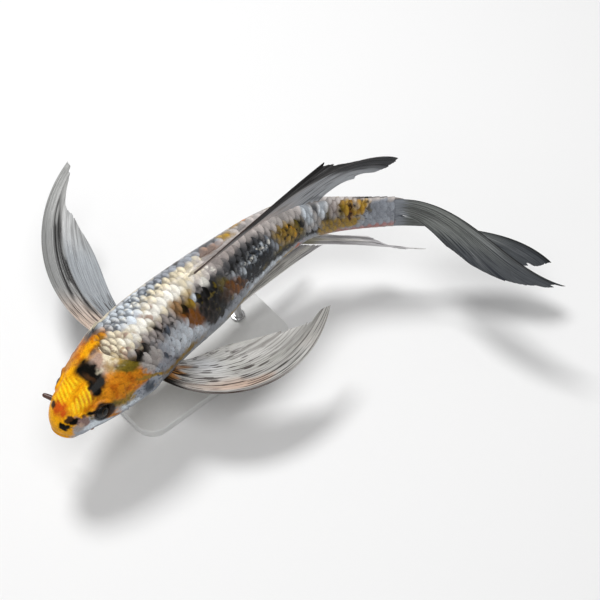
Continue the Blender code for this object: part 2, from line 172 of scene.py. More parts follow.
def direction(heading, pitch):
    """Unit vectors from angles in radians, round from +X and over the horizon."""
    flat = np.cos(pitch)
    return np.stack([np.cos(heading) * flat, np.sin(heading) * flat, np.sin(pitch)], -1)


# The body's outer surface


def spine_tables(steps=400):
    """Points of the spine in plan, by equal steps of arc length, from its heading."""
    heading = np.radians(table_curve(HEADING, (np.arange(steps) + 0.5) / steps))
    moves = direction(heading, 0 * heading) * BODY_LENGTH / steps
    points = SNOUT + np.cumsum(np.vstack([np.zeros(3), moves]), axis=0)
    return np.linspace(0, 1, steps + 1), points


SPINE_SHARES, SPINE_POINTS = spine_tables()


def spine(share):
    share = np.clip(share, 0, 1)
    x = np.interp(share, SPINE_SHARES, SPINE_POINTS[:, 0])
    y = np.interp(share, SPINE_SHARES, SPINE_POINTS[:, 1])
    return np.stack([x, y, AXIS_HEIGHT + table_curve(RISE, share) * MM], -1)


def spine_side(share):
    """Unit vector towards the fish's left, level."""
    heading = np.radians(table_curve(HEADING, share))
    return np.stack([np.sin(heading), -np.cos(heading), 0 * heading], -1)


def body(share, angle, proud=0.0):
    """Points of the body's surface. The angle runs from the ridge of the back round by the left flank."""
    share, angle, proud = np.broadcast_arrays(*(np.asarray(v, float) for v in (share, angle, proud)))
    round_off = np.sqrt(np.clip(1 - (1 - np.minimum(share / NOSE_SHARE, 1)) ** 2, 0, 1))
    power = 2 / table_curve(SQUARENESS, share)
    across, up = np.sin(angle), np.cos(angle)
    tall = np.where(up > 0, table_curve(HEIGHT, share), table_curve(DEPTH, share)) * MM
    wide = table_curve(HALF_WIDTH, share) * MM
    side = np.sign(across) * np.abs(across) ** power * (wide * round_off + proud)
    rise = np.sign(up) * np.abs(up) ** power * (tall * round_off + proud)
    return spine(share) + spine_side(share) * side[..., None] + rise[..., None] * np.array((0, 0, 1))


def gill_edge(angle):
    """Share of the body length where the head ends."""
    return HEAD_END + HEAD_BULGE * np.sin(angle) ** 2


def past_gill(share, angle):
    """Distance in mm behind the head's rear edge."""
    return (share - gill_edge(angle)) * BODY_LENGTH / MM


def spread_out(share, degrees):
    """Distances in mm along the spine and, roughly, round the body from the ridge of the back."""
    return share * BODY_LENGTH / MM, degrees * 0.5


def away_from(points, share, degrees):
    """Distances in mm from a place on the body's surface."""
    return np.linalg.norm(points - body(share, math.radians(degrees)), axis=-1) / MM


# Pieces and materials


def grid_quads(grid):
    return np.stack([grid[:-1, :-1], grid[:-1, 1:], grid[1:, 1:], grid[1:, :-1]], -1).reshape(-1, 4)


def grid_border(grid):
    """The grid's outer points in turn, its first row's first."""
    return np.concatenate([grid[0, :-1], grid[:-1, -1], grid[-1, :0:-1], grid[:0:-1, 0]])


def tube_faces(rings, around):
    """Faces of a closed tube: rings of points, then a point at the first end and one at the last."""
    grid = np.arange(rings * around).reshape(rings, around)
    grid = np.hstack([grid, grid[:, :1]])
    end = np.full(around, rings * around)
    first = np.stack([end, grid[0, 1:], grid[0, :-1]], -1)
    last = np.stack([end + 1, grid[-1, :-1], grid[-1, 1:]], -1)
    return grid_quads(grid), np.concatenate([first, last])


def tube(path, along, upright, radii, around, ends):
    """Points and faces of a closed tube of round rings; upright sets where each ring starts."""
    first = unit(np.cross(along, upright))
    turn = 2 * np.pi * np.arange(around)[:, None] / around
    circle = np.cos(turn) * first[:, None] + np.sin(turn) * np.cross(along, first)[:, None]
    rings = path[:, None] + circle * radii[:, None, None]
    return np.concatenate([rings.reshape(-1, 3), ends]), *tube_faces(len(path), around)


def add_piece(name, points, quads, tris=(), colours=None, places=None, uv=None, sharp_deg=None):
    """A smooth mesh from arrays. The material reads colours and places; uv goes by point or by corner."""
    quads = np.asarray(quads, np.int32).reshape(-1, 4)
    tris = np.asarray(tris, np.int32).reshape(-1, 3)
    corners = np.concatenate([quads.ravel(), tris.ravel()])
    sizes = np.repeat((4, 3), (len(quads), len(tris)))
    mesh = bpy.data.meshes.new(name)
    mesh.vertices.add(len(points))
    mesh.vertices.foreach_set("co", np.asarray(points, np.float32).ravel())
    mesh.loops.add(len(corners))
    mesh.loops.foreach_set("vertex_index", corners)
    mesh.polygons.add(len(sizes))
    mesh.polygons.foreach_set("loop_start", (np.cumsum(sizes) - sizes).astype(np.int32))
    mesh.update(calc_edges=True)
    mesh.shade_smooth()
    if sharp_deg:
        mesh.set_sharp_from_angle(angle=math.radians(sharp_deg))
    if colours is not None:
        rgba = np.column_stack([colours, np.ones(len(points))]).astype(np.float32)
        mesh.attributes.new("pigment", "FLOAT_COLOR", "POINT").data.foreach_set("color", rgba.ravel())
    if places is not None:
        flat = np.asarray(places, np.float32).ravel()
        mesh.attributes.new("place", "FLOAT_VECTOR", "POINT").data.foreach_set("vector", flat)
    if uv is not None:
        uv = np.asarray(uv, np.float32)
        uv = uv[corners] if len(uv) == len(points) else uv
        mesh.uv_layers.new(name="OFBake").data.foreach_set("uv", uv.ravel())
    piece = bpy.data.objects.new(name, mesh)
    bpy.context.scene.collection.objects.link(piece)
    return piece


def settle(piece, finish, slot, *nodes):
    """Gives a piece its material, hangs it from the root body and hides the CAD nodes it replaces; the slot
    is not used.
    """
    piece.data.materials.append(finish)
    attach(piece, "root")
    if nodes:
        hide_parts(*nodes)
    return piece


class Nodes:
    """A short way to wire up a material. Inputs take numbers, colours or other nodes' outputs."""

    def __init__(self, name):
        self.material = bpy.data.materials.new(name)
        self.material.use_nodes = True
        self.tree = self.material.node_tree

    def fill(self, node, inputs):
        for key, value in inputs.items():
            if isinstance(value, bpy.types.NodeSocket):
                self.tree.links.new(value, node.inputs[key])
            else:
                node.inputs[key].default_value = value

    def add(self, kind, inputs, **settings):
        node = self.tree.nodes.new("ShaderNode" + kind)
        for key, value in settings.items():
            setattr(node, key, value)
        self.fill(node, inputs)
        return node

    def finish(self, **inputs):
        """Fills the shader's own sockets, base_color=..., roughness=..., and gives the material."""
        names = {key: key.replace("_", " ").title().replace("Ior", "IOR") for key in inputs}
        self.fill(self.tree.nodes["Principled BSDF"], {names[key]: value for key, value in inputs.items()})
        return self.material

    def attribute(self, name, output):
        return self.add("Attribute", {}, attribute_name=name).outputs[output]

    def place(self):
        return self.add("SeparateXYZ", {"Vector": self.attribute("place", "Vector")}).outputs

    def here(self):
        return self.add("TexCoord", {}).outputs["Object"]

    def stretched(self, vector, scale):
        return self.add("Mapping", {"Vector": vector, "Scale": scale}).outputs["Vector"]

    def noise(self, scale, detail, vector=None, roughness=0.5):
        inputs = {"Vector": vector or self.here(), "Scale": scale, "Detail": detail, "Roughness": roughness}
        return self.add("TexNoise", inputs).outputs["Fac"]

    def math(self, operation, first, second=0.5):
        return self.add("Math", {0: first, 1: second}, operation=operation).outputs[0]

    def remap(self, value, low, high, out_low, out_high):
        ends = {"From Min": low, "From Max": high, "To Min": out_low, "To Max": out_high}
        return self.add("MapRange", {"Value": value, **ends}).outputs["Result"]

    def spread(self, grain, low, high):
        """Noise, which lies mostly between 0.3 and 0.7, spread over a range."""
        return self.remap(grain, 0.3, 0.7, low, high)

    def blend(self, factor, first, second, way="MIX"):
        inputs = {"Factor": factor, "A": first, "B": second}
        return self.add("Mix", inputs, data_type="RGBA", blend_type=way).outputs["Result"]

    def pigment(self, *greys):
        """The points' own pigment, made lighter and darker by each grey."""
        colour = self.attribute("pigment", "Color")
        for grey in greys:
            colour = self.blend(1.0, colour, grey, "MULTIPLY")
        return colour

    def bump(self, height, distance, after=None):
        inputs = {"Height": height, "Distance": distance}
        if after is not None:
            inputs["Normal"] = after
        return self.add("Bump", inputs).outputs["Normal"]


# Markings, as thousandths of the body's length from the snout and degrees round from the back's ridge

PIGMENTS = {  # as they look on a screen, 0 to 255
    "yellow": (238, 166, 14),
    "orange": (216, 136, 28),
    "flame": (196, 84, 22),
    "tan": (186, 122, 52),
    "gold": (184, 146, 54),
    "clay": (160, 124, 86),
    "rust": (128, 74, 4),
    "ochre": (164, 132, 50),
    "olive": (112, 96, 30),
    "brown": (66, 42, 22),
    "black": (10, 8, 5),
    "navy": (10, 20, 30),
    "slate": (72, 80, 92),
    "cream": (238, 226, 198),
    "white": (253, 250, 240),
    "pink_cream": (174, 146, 130),
    "flesh": (176, 120, 116),
    "silver": (214, 222, 230),
    "mauve": (140, 114, 108),
    "mauve_grey": (166, 157, 153),
    "grey": (196, 188, 184),
    "dark_grey": (78, 79, 82),
    "pale_grey": (178, 172, 168),
    "blue_grey": (158, 163, 172),
    "pearl": (196, 192, 184),
}
# pigment, place along, angle, half length, half angle, lean in thousandths per degree, softness of the edge
MARKS = (
    # head
    # painted shade: tan over the head's far side, darker than its lit top
    ("tan", 105, -64, 105, 46, 0, 0.3),
    ("yellow", 50, 0, 76, 66, 0, 0.2),
    ("orange", 140, 50, 70, 32, 0.6, 0.25),
    ("orange", 180, 66, 34, 14, 0.8, 0.2),
    ("ochre", 150, 84, 26, 9, 1, 0.5),
    ("silver", 58, 92, 26, 12, 1, 0.4),
    ("tan", 110, 94, 18, 8, 0.8, 0.5),
    ("olive", 118, 73, 12, 9, 1, 0.8),
    ("silver", 156, 97, 28, 8, 1.2, 0.4),
    ("blue_grey", 208, 94, 36, 18, 0.6, 0.2),
    ("slate", 212, 94, 15, 11, 0.8, 0.6),
    ("olive", 62, 66, 4, 13, 0, 0.6),
    ("black", 82, 66, 9, 13, 1.9, 0.35),
    ("brown", 91, 55, 8, 5, 0, 0.8),
    # nape and shoulder
    ("orange", 160, -34, 34, 20, 0, 0.5),
    ("yellow", 176, -19, 48, 11, 0, 0.3),
    ("yellow", 178, -5, 16, 8, 0, 0.6),
    ("dark_grey", 215, -44, 36, 14, 0, 0.4),
    ("brown", 160, -11, 18, 5, 0, 0.6),
    ("pink_cream", 150, 6, 22, 14, 0, 0.7),
    ("cream", 205, 8, 40, 15, 0, 0.25),
    ("ochre", 170, 20, 22, 11, 0, 0.6),
    ("gold", 174, 24, 6, 5, 0, 0.8),
    ("brown", 166, 26, 5, 5, 0, 0.8),
    ("brown", 120, -10, 17, 12, 0, 0.6),
    ("black", 121, 0, 18, 18, 0, 0.4),
    ("black", 113, 21, 19, 17, -0.4, 0.4),
    ("brown", 112, 5, 4, 7, 0, 0.9),
    # painted shade: dark olive in the pocket behind the gill cover
    ("olive", 190, 38, 20, 13, 0.9, 0.35),
    # painted shade: black in the shaded valley behind the gill cover (next two rows)
    ("black", 232, 39, 28, 8, 0.4, 0.3),
    ("black", 238, 30, 8, 9, 0, 0.6),
    # front of the trunk
    ("silver", 290, -20, 80, 20, 0, 0.3),
    ("blue_grey", 440, -25, 110, 13, 0, 0.3),
    ("dark_grey", 530, -26, 45, 9, 0, 0.5),
    ("cream", 300, 13, 125, 15, 0, 0.25),
    ("white", 320, 13, 90, 9, 0, 0.4),
    ("cream", 378, -7, 66, 9, 0, 0.3),
    ("pink_cream", 512, -11, 36, 9, 0, 0.4),
    ("silver", 265, -3, 18, 7, 0, 0.6),
    ("mauve_grey", 305, 38, 58, 15, 0.2, 0.45),
    # painted shade: a thin dark crease between big scales
    ("black", 290, 39, 3.5, 12, 0.4, 0.6),
    ("slate", 306, 46, 14, 6, 0, 0.7),
    ("clay", 364, 34, 18, 12, 0.3, 0.4),
    ("olive", 372, 47, 11, 8, 0.4, 0.4),
    ("ochre", 390, 38, 16, 12, 0, 0.6),
    ("black", 376, 45, 8, 6, 0, 0.6),
    ("pale_grey", 236, 58, 26, 12, 0.6, 0.25),
    ("silver", 350, 74, 50, 20, 1.2, 0.6),
    ("slate", 279, 76, 6, 7, 1.2, 0.6),
    ("slate", 306, 92, 6, 5, 1.4, 0.7),
    ("ochre", 238, 84, 7, 16, 2.6, 0.5),
    ("ochre", 330, 100, 60, 5, 1, 0.6),
    ("rust", 390, 62, 23, 18, 1.1, 0.25),
    ("black", 442, 62, 38, 32, 0.3, 0.18),
    ("black", 472, 40, 18, 7, 0, 0.4),
    ("olive", 484, 48, 14, 12, 0.4, 0.5),
    # painted highlights: a white and a silver glint on the wet scales (next two rows)
    ("white", 442, 28, 9, 5, 0, 0.6),
    ("silver", 404, 38, 4, 5, 0, 0.6),
    ("brown", 484, 72, 14, 13, 0.8, 0.4),
    ("rust", 516, 70, 22, 17, 1, 0.22),
    # rear of the trunk
    ("pale_grey", 715, 14, 34, 14, 0, 0.6),
    ("mauve_grey", 530, 22, 60, 12, 0, 0.8),
    ("dark_grey", 575, 38, 75, 12, 0, 0.6),
    ("slate", 620, 56, 70, 12, 0.3, 0.5),
    ("navy", 598, 78, 58, 17, 0.4, 0.3),
    ("blue_grey", 668, 62, 16, 14, 0.4, 0.6),
    ("olive", 700, 88, 60, 9, 0.3, 0.4),
    ("black", 690, 92, 60, 7, 0.4, 0.6),
    ("ochre", 714, 60, 36, 22, 0.6, 0.35),
    ("olive", 760, 62, 16, 22, 0.5, 0.4),
    ("gold", 728, 60, 10, 9, 0, 0.9),
    ("black", 758, 54, 7, 10, 0.4, 0.5),
    ("ochre", 700, 112, 30, 6, 0.4, 0.7),
    ("flame", 744, 113, 12, 6, 0, 0.8),
    ("ochre", 520, 112, 45, 5, 0.4, 0.8),
    ("silver", 619, 102, 50, 5, 0.4, 0.6),
    ("gold", 570, -17, 13, 11, 0, 0.5),
    ("gold", 611, -30, 14, 10, 0, 0.6),
    ("orange", 640, -36, 12, 8, 0, 0.7),
    # tail stalk
    ("pale_grey", 790, 45, 26, 46, 0, 0.35),
    ("silver", 786, 38, 12, 30, 0, 0.7),
    ("pale_grey", 830, 30, 34, 34, 0, 0.35),
    ("silver", 826, 30, 11, 28, 0, 0.7),
    ("dark_grey", 806, 26, 7, 20, 0.2, 0.5),
    ("olive", 842, 56, 10, 24, 0, 0.5),
    ("black", 836, 78, 8, 14, 0, 0.5),
    ("black", 800, 97, 42, 6, 0, 0.5),
    ("mauve_grey", 853, 34, 9, 22, 0, 0.6),
    ("gold", 906, 34, 40, 34, 0, 0.25),
    ("ochre", 868, 88, 46, 20, 0, 0.25),
    ("ochre", 842, 112, 24, 20, 0, 0.35),
    ("pale_grey", 904, 24, 6, 12, 0, 0.7),
    ("olive", 871, 48, 6, 20, 0, 0.7),
    ("rust", 893, 40, 4, 26, 0, 0.8),
    ("olive", 936, 50, 8, 14, 0, 0.6),
    ("black", 955, -16, 50, 12, 0, 0.5),
    ("black", 946, 38, 6, 7, 0, 0.5),
    ("blue_grey", 974, 68, 38, 58, 0, 0.15),
    ("flesh", 935, 130, 75, 15, 0, 0.6),
)
# The far side's, with looser edges
FAR_MARKS = (
    ("cream", 270, -58, 60, 14, 1, 0.4),
    ("black", 180, -74, 20, 12, 1.2, 0.4),
    ("rust", 322, -84, 32, 16, -1, 0.3),
    ("black", 372, -68, 24, 26, 1.4, 0.25),
    ("black", 405, -92, 30, 11, -0.8, 0.35),
    ("brown", 438, -58, 18, 10, 0.6, 0.6),
    ("tan", 470, -98, 60, 8, 0.4, 0.6),
    ("ochre", 530, -76, 42, 13, 1.4, 0.35),
    ("black", 556, -56, 14, 13, 0.8, 0.5),
    ("navy", 640, -82, 60, 12, 0.6, 0.35),
    ("slate", 595, -64, 34, 8, 0, 0.6),
    ("olive", 700, -62, 24, 26, 0.8, 0.4),
    ("black", 742, -46, 10, 15, 0.6, 0.5),
    ("pale_grey", 800, -50, 26, 44, 0, 0.4),
    ("gold", 880, -66, 50, 34, 0.4, 0.3),
    ("black", 838, -84, 30, 7, 0.4, 0.5),
)
# Small flecks over the marks: a mark's row, then the flecks' size in mm and how rare they are
FLECKS = (
    ("black", 300, 40, 62, 10, 0.3, 0.4, 1.8, 0.24),
    ("slate", 290, -18, 80, 20, 0, 0.3, 1.8, 0.34),
    # painted highlights: white glints on the silver-blue scales
    ("white", 280, -16, 60, 12, 0, 0.4, 1.8, 0.22),
    ("black", 560, 46, 80, 12, 0.3, 0.5, 2.2, 0.16),
    # painted highlights: silver and white glints on the rear flank (next two rows)
    ("silver", 596, 52, 75, 9, 0.3, 0.5, 2, 0.14),
    ("white", 600, 51, 65, 7, 0.3, 0.5, 1.5, 0.34),
    ("silver", 560, 74, 50, 16, 0.4, 0.5, 2.4, 0.36),
    ("olive", 462, 60, 40, 22, 0.3, 0.4, 2, 0.4),
    ("white", 505, 18, 60, 12, 0, 0.5, 2, 0.46),
    ("black", 730, 66, 50, 22, 0.4, 0.4, 2.2, 0.22),
    ("yellow", 722, 60, 26, 14, 0.4, 0.4, 1.8, 0.34),
    ("black", 900, 40, 50, 40, 0, 0.3, 1.8, 0.4),
    ("slate", 220, 90, 40, 18, 0.6, 0.4, 1.6, 0.34),
    ("slate", 330, 76, 60, 24, 1, 0.4, 1.5, 0.56),
    ("pink_cream", 260, 16, 90, 18, 0, 0.4, 5, 0.3),
    ("clay", 200, 20, 40, 16, 0, 0.5, 3.5, 0.45),
)
# Round spots on the snout: pigment, place along, angle, radius in mm, softness
SPOTS = (
    ("yellow", 1, 0, 15, 0.2),
    ("orange", 26, 2, 5, 1),
    ("flame", 31, -14, 5, 0.9),
    ("flame", 26, 6, 2.4, 1),
    ("brown", 34, -39, 2.2, 0.8),
    ("mauve", 41, 66, 4.6, 0.6),
    ("mauve_grey", 30, 76, 3.6, 0.7),
    ("pink_cream", 38, 72, 1.6, 0.9),
    ("black", 9, 43, 3, 0.5),
    ("black", 16, 51, 3.2, 0.5),
    ("brown", 21, 38, 2.8, 0.9),
    ("black", 31, 50, 3.3, 0.5),
    ("brown", 27, 34, 1.8, 0.8),
)
# The darker colour in each scale's pocket, its strength last
NETS = (
    ("mauve", 320, 85, 120, 34, 0, 0.3, 0.24),
    ("brown", 190, 4, 50, 26, 0, 0.4, 0.6),
    ("brown", 182, 10, 24, 26, 0, 0.5, 0.84),
    ("brown", 320, 14, 110, 14, 0, 0.4, 0.36),
    ("brown", 375, -9, 85, 12, 0, 0.4, 0.56),
    ("navy", 300, -22, 110, 18, 0, 0.3, 0.74),
    ("black", 300, 38, 120, 14, 0, 0.3, 0.62),
    ("black", 600, 60, 110, 34, 0, 0.4, 0.75),
    ("black", 740, 60, 60, 34, 0, 0.4, 0.5),
    ("dark_grey", 830, 50, 60, 60, 0, 0.3, 0.6),
    ("brown", 900, 30, 50, 40, 0, 0.3, 0.6),
    ("dark_grey", 560, -30, 120, 16, 0, 0.4, 0.6),
)
PER_MILLE = 0.001
RAGGED = 2.6  # mm that a mark's edge wanders
SPOT_STRAY = 1.7  # the same for a spot's edge
BLOTCH = np.array((0.22, 0.42, 0.50))  # how far a blotch on warm colours darkens red, green and blue
NET_STRENGTH = 0.26  # where no row of NETS says another


def coverage(row, share, angle, wobble):
    """How far a mark's row covers each place, 0 to 1. The angle is in degrees."""
    _, centre, middle, half_share, half_angle, lean, soft = row[:7]
    along = np.abs(share / PER_MILLE - centre - lean * (angle - middle)) / half_share
    reach = (along**3 + (np.abs(angle - middle) / half_angle) ** 3) ** (1 / 3)
    half_size = min(spread_out(half_share * PER_MILLE, half_angle))
    return ramp(reach + RAGGED * wobble / (half_size + 3), 1 + soft, 1 - soft)


def signed_degrees(angle):
    return np.degrees((angle + np.pi) % (2 * np.pi) - np.pi)


def wander(places, seed=1):
    """How the marks' edges stray at each place, in about three sizes."""
    sizes = ((1.2, 8), (0.9, 3.2), (0.5, 1.4))
    return sum(high * noise(*places, size, seed + k) for k, (high, size) in enumerate(sizes))


def paint(share, angle):
    """The pigment at a place on the body; the angle is in radians."""
    degrees = signed_degrees(angle)
    places = np.moveaxis(body(share, angle) / MM, -1, 0)
    wobble = wander(places)
    lower = np.abs(degrees) + 6 * wobble
    colours = layered(hue("grey"), ("blue_grey", ramp(lower, 30, 60)), ("pearl", ramp(lower, 112, 140)))
    loose = 2 * (1.6 * noise(*places, 17, 21) + wobble)
    for rows, stray in ((MARKS, wobble), (FAR_MARKS, loose)):
        for index, row in enumerate(rows):
            cover = coverage(row, share, degrees, stray if index % 2 else -stray)
            colours = mix(colours, hue(row[0]), cover)
    blotch = ramp(noise(*places, 5, 9) + 0.5 * noise(*places, 2, 10), -0.1, 0.9)
    warm = ramp(colours[..., 0] - colours[..., 2], 0.28, 0.45)
    colours = colours * (1 - (warm * blotch)[..., None] * BLOTCH)
    for index, row in enumerate(FLECKS):
        size, rare = row[7:]
        grain = noise(*places, size, 30 + index) + 0.3 * noise(*places, size / 3, 60 + index)
        cover = 0.9 * ramp(grain, rare, rare + 0.25) * coverage(row, share, degrees, wobble)
        colours = mix(colours, hue(row[0]), cover)
    return colours


def pocket(share, angle):
    """The pigment and the strength of the net between the scales."""
    colours, strength = hue("dark_grey"), NET_STRENGTH
    for row in NETS:
        cover = coverage(row, share, signed_degrees(angle), 0)
        colours = mix(colours, hue(row[0]), cover)
        strength = strength + (row[7] - strength) * cover
    return colours, strength


# The skin

NOSE_RINGS, HEAD_RINGS, BODY_RINGS, TAIL_RINGS, AROUND = 34, 165, 150, 10, 256
COAT_DEPTH = 0.85  # mm from the skin under the scales to the body's surface
TAIL_TAPER = 7 * MM
NOSTRIL = ((0.040, 52), (0.0445, 53), (0.050, 54))  # share and degrees of front hole, flap and rear hole


def skin_grid():
    """Share and angle of each skin point, ring by ring; the gill edge is a ring."""
    angle = 2 * np.pi * np.arange(AROUND) / AROUND
    nose = NOSE_SHARE * (1 - np.cos(np.radians(90 * np.arange(1, NOSE_RINGS + 1) / NOSE_RINGS)))
    edge = gill_edge(angle)
    along = 1 - (1 - np.arange(1, HEAD_RINGS + 1) / HEAD_RINGS) ** 1.15
    head = NOSE_SHARE + (edge - NOSE_SHARE) * along[:, None]
    back = (np.arange(1, BODY_RINGS + 1) / BODY_RINGS)[:, None] ** 1.35
    share = np.concatenate([np.repeat(nose[:, None], AROUND, 1), head, edge + (1 - edge) * back])
    return share, np.broadcast_to(angle, share.shape)


def head_places(points):
    """Places in mm aft of the snout's tip, to the left of it and over it."""
    tip = spine(0.0)
    aft = unit((spine(0.09) - tip) * (1, 1, 0))
    left = spine_side(0.04)
    return [(points - tip) @ axis / MM for axis in (aft, left, np.array((0, 0, 1.0)))]


def eye_place(side):
    """Centre and outward axis of an eyeball; side is 1 for the left."""
    low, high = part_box("eye_left" if side > 0 else "eye_right")
    skin = body(EYE_SHARE, side * EYE_ANGLE)
    outward = body(EYE_SHARE, side * EYE_ANGLE, MM) - skin
    return np.array((low + high) / 2), unit(outward), (high.x - low.x) / 2


def mouth_relief(points):
    """The lips and the folds round them, in mm, with painted shade in the mouth's slit and at its corners.
    """
    aft, left, up = head_places(points)
    over, out = up + 6.4 + 0.030 * left**2, np.abs(left)
    wide = ramp(out, 13.0, 10.0) * ramp(aft, 17, 13)
    fold_wide = ramp(out, 15.5, 12.0) * ramp(aft, 19, 15)
    slit = bump_at(over, 0.60)
    lips = 1.25 * bump_at(over - 2.0, 1.25) + 1.15 * bump_at(over + 2.1, 1.35)
    folds = 0.75 * bump_at(over - 4.4, 0.65) + 0.60 * bump_at(over + 4.8, 0.90)
    corner = bump_at(np.hypot(out - 12.5, over), 1.6) * ramp(aft, 22, 18)
    lip = ((214, 128, 40), 0.45 * wide * bump_at(over, 3.2))
    # painted shade: dark brown in the mouth's slit and at its corners
    dark = ((70, 38, 28), 0.85 * np.maximum(wide * slit, 0.6 * corner))
    return wide * (lips - 2.0 * slit) - fold_wide * folds - 0.9 * corner, [lip, dark]


def eye_relief(points):
    """The sockets' rims, with the skin drawn in behind each eyeball and painted dark as shade in the
    socket.
    """
    relief, socket_shade = 0, 0
    for side in (1, -1):
        centre, axis, _ = eye_place(side)
        out = (points - centre) @ axis
        from_axis = np.linalg.norm(points - centre - out[..., None] * axis, axis=-1) / MM
        near = ramp(out / MM, -2, 1)
        rim = 0.55 * bump_at(from_axis - 8.3, 1.1) - 0.30 * bump_at(from_axis - 10.6, 1.0)
        bowl = -1.5 * ramp(from_axis, 7.6, 5.6) - 4.0 * ramp(from_axis, 5.5, 4.6)
        relief = relief + near * (rim + bowl)
        # painted shade: the skin in the socket round the eyeball is darkened
        socket_shade = socket_shade + near * ramp(from_axis, 9.0, 7.4)
    return relief, [((26, 20, 16), 0.88 * socket_shade)]


def nostril_relief(points):
    """Two openings on each side with a flap of skin between them, painted dark inside as shade."""
    relief, hole = 0, 0
    for side in (1, -1):
        front, flap, rear = (away_from(points, share, side * turn) for share, turn in NOSTRIL)
        hole = hole + bump_at(rear, 1.25) + 0.8 * bump_at(front, 0.8)
        relief = relief + 0.45 * bump_at(rear - 2.2, 0.7) + 1.0 * bump_at(flap, 0.75)
    # painted shade: the openings are dark inside
    return relief - 1.5 * hole, [((60, 48, 46), 0.80 * np.clip(hole, 0, 1))]


def gill_relief(share, degrees):
    """The gill cover, which stands off the body at its rear edge, with its plates' grooves, and a painted
    shadow along the gill slot.
    """
    aft = past_gill(share, np.radians(degrees))
    x, y = spread_out(share, degrees)
    cover = ramp(degrees, 24, 48) * ramp(degrees, 174, 158)
    flare = np.exp(-np.maximum(-aft, 0) / 7) * ramp(aft, 0.25, -0.15)
    slot = -0.75 * np.exp(-np.maximum(aft, 0) / 2.2) * ramp(aft, -0.15, 0.25)
    plate = 0.9 * bump_at(x - 63, 12) * bump_at(y - 43, 13)
    ridge = x - 49 - 0.012 * (y - 44) ** 2
    front_plate = 0.45 * bump_at(ridge + 1.6, 1.4) - 0.55 * bump_at(ridge, 0.75)
    front_plate = front_plate * ramp(degrees, 52, 64) * ramp(degrees, 140, 122)
    low_groove = -0.40 * bump_at(y - 57 - 0.10 * (x - 60), 0.7) * ramp(x, 50, 56)
    membrane = -0.35 * bump_at(aft + 4.2, 0.8) * ramp(degrees, 60, 75)
    threads = 0.07 * np.sin(np.arctan2(y - 30, x - 50) * 46) * ramp(np.hypot(y - 30, x - 50), 4, 9)
    inside = ramp(aft, -3, -5) * ramp(ridge, 0.5, 2)
    relief = flare + slot + plate + front_plate + inside * (low_groove + threads) + membrane
    return cover * relief, cover * ramp(np.abs(aft), 1.0, 0.2)


def head_form(share, degrees):
    """The brow over the eye, the cheek under it, the crown's groove and the folds of the throat."""
    x, y = spread_out(share, degrees)
    brow = 1.9 * bump_at(x - 31, 9) * bump_at(y - 31.6, 4.0)
    cheek = 0.6 * bump_at(x - 38, 7) * bump_at(y - 50, 6)
    under_eye = -0.35 * bump_at(y - 47 + 0.15 * (x - 30), 0.8) * ramp(x, 18, 22) * ramp(x, 44, 38)
    crown = -0.35 * bump_at(y, 3.0) * ramp(x, 12, 24)
    throat = -0.55 * (bump_at(y - 79, 0.9) + bump_at(y - 84, 0.8)) * ramp(x, 22, 30)
    return ramp(share, 0.19, 0.15) * (brow + cheek + under_eye + crown + throat)


def fin_root_relief(points, share, degrees):
    """Fleshy bases under the paired fins, and the sheath along the dorsal fin."""
    line = 8 - 6 * (share - 0.425) / 0.39
    sheath = 1.3 * bump_at((degrees - line) * 0.5, 1.8)
    relief = sheath * ramp(share, 0.415, 0.43) * ramp(share, 0.835, 0.81)
    for side in (1, -1):
        relief = relief + 1.8 * bump_at(away_from(points, 0.288, side * 120), 8.0)
        relief = relief + 1.0 * bump_at(away_from(points, 0.507, side * 148), 6.0)
    return relief


def tail_cap(ring):
    """Rings that draw the last one in to a thin edge between the tail fin's rays."""
    middle, side = spine(1.0), spine_side(1.0)
    aft = unit(middle - spine(0.99))
    t = (np.arange(1, TAIL_RINGS + 1) / TAIL_RINGS)[:, None, None]
    across = ((ring - middle) @ side)[:, None] * side
    flat = (ring - middle - across) * (1 - 0.10 * t * t) + across * (1 - t) ** 0.8
    return middle + flat + aft * TAIL_TAPER * t


def painted_ripple_light(share, degrees, places):
    """Painted light: yellow bands of rippling water light in two groups across the crown, aslant."""
    x, y = spread_out(share, degrees)
    line = x + 0.34 * y + 0.7 * noise(*places, 6, 12)
    bands = ramp(np.sin(2 * np.pi * line / 3.55), -0.7, 0.8) * ramp(np.abs(y - 1.5), 1.5, 4.5)
    return bands * ramp(np.abs(y + 1), 23, 16) * ramp(x, 11, 15) * ramp(x - 0.2 * y, 36, 29)


def skin_colours(share, angle, points, layers):
    """The body's marks and the snout's spots, mottled, with the head's details and the painted ripple light
    on the crown laid over them.
    """
    degrees = signed_degrees(angle)
    places = np.moveaxis(points / MM, -1, 0)
    colours = paint(share, angle)
    for index, (pigment, at, turn, radius, soft) in enumerate(SPOTS):
        away = away_from(points, at * PER_MILLE, turn) + SPOT_STRAY * wander(places, 40 + 3 * index)
        cover = ramp(away, radius * (1 + soft / 2), radius * (1 - soft / 2))
        colours = mix(colours, hue(pigment), cover)
    mottle = 1 + 0.12 * noise(*places, 4, 5) + 0.10 * noise(*places, 1.3, 6)
    fleck = ramp(noise(*places, 1.5, 7), 0.35, 0.65)
    fleck = fleck * ramp(np.abs(degrees), 20, 40) * ramp(share, 0.08, 0.12)
    colours = colours * (mottle * (1 - 0.35 * fleck))[..., None]
    bright = ramp(colours[..., 0] - colours[..., 2], 0.20, 0.45)
    # painted light: bright yellow ripple bands over the warm colours of the crown
    return layered(colours, ((255, 218, 36), 0.80 * bright * painted_ripple_light(share, degrees, places)), *layers)


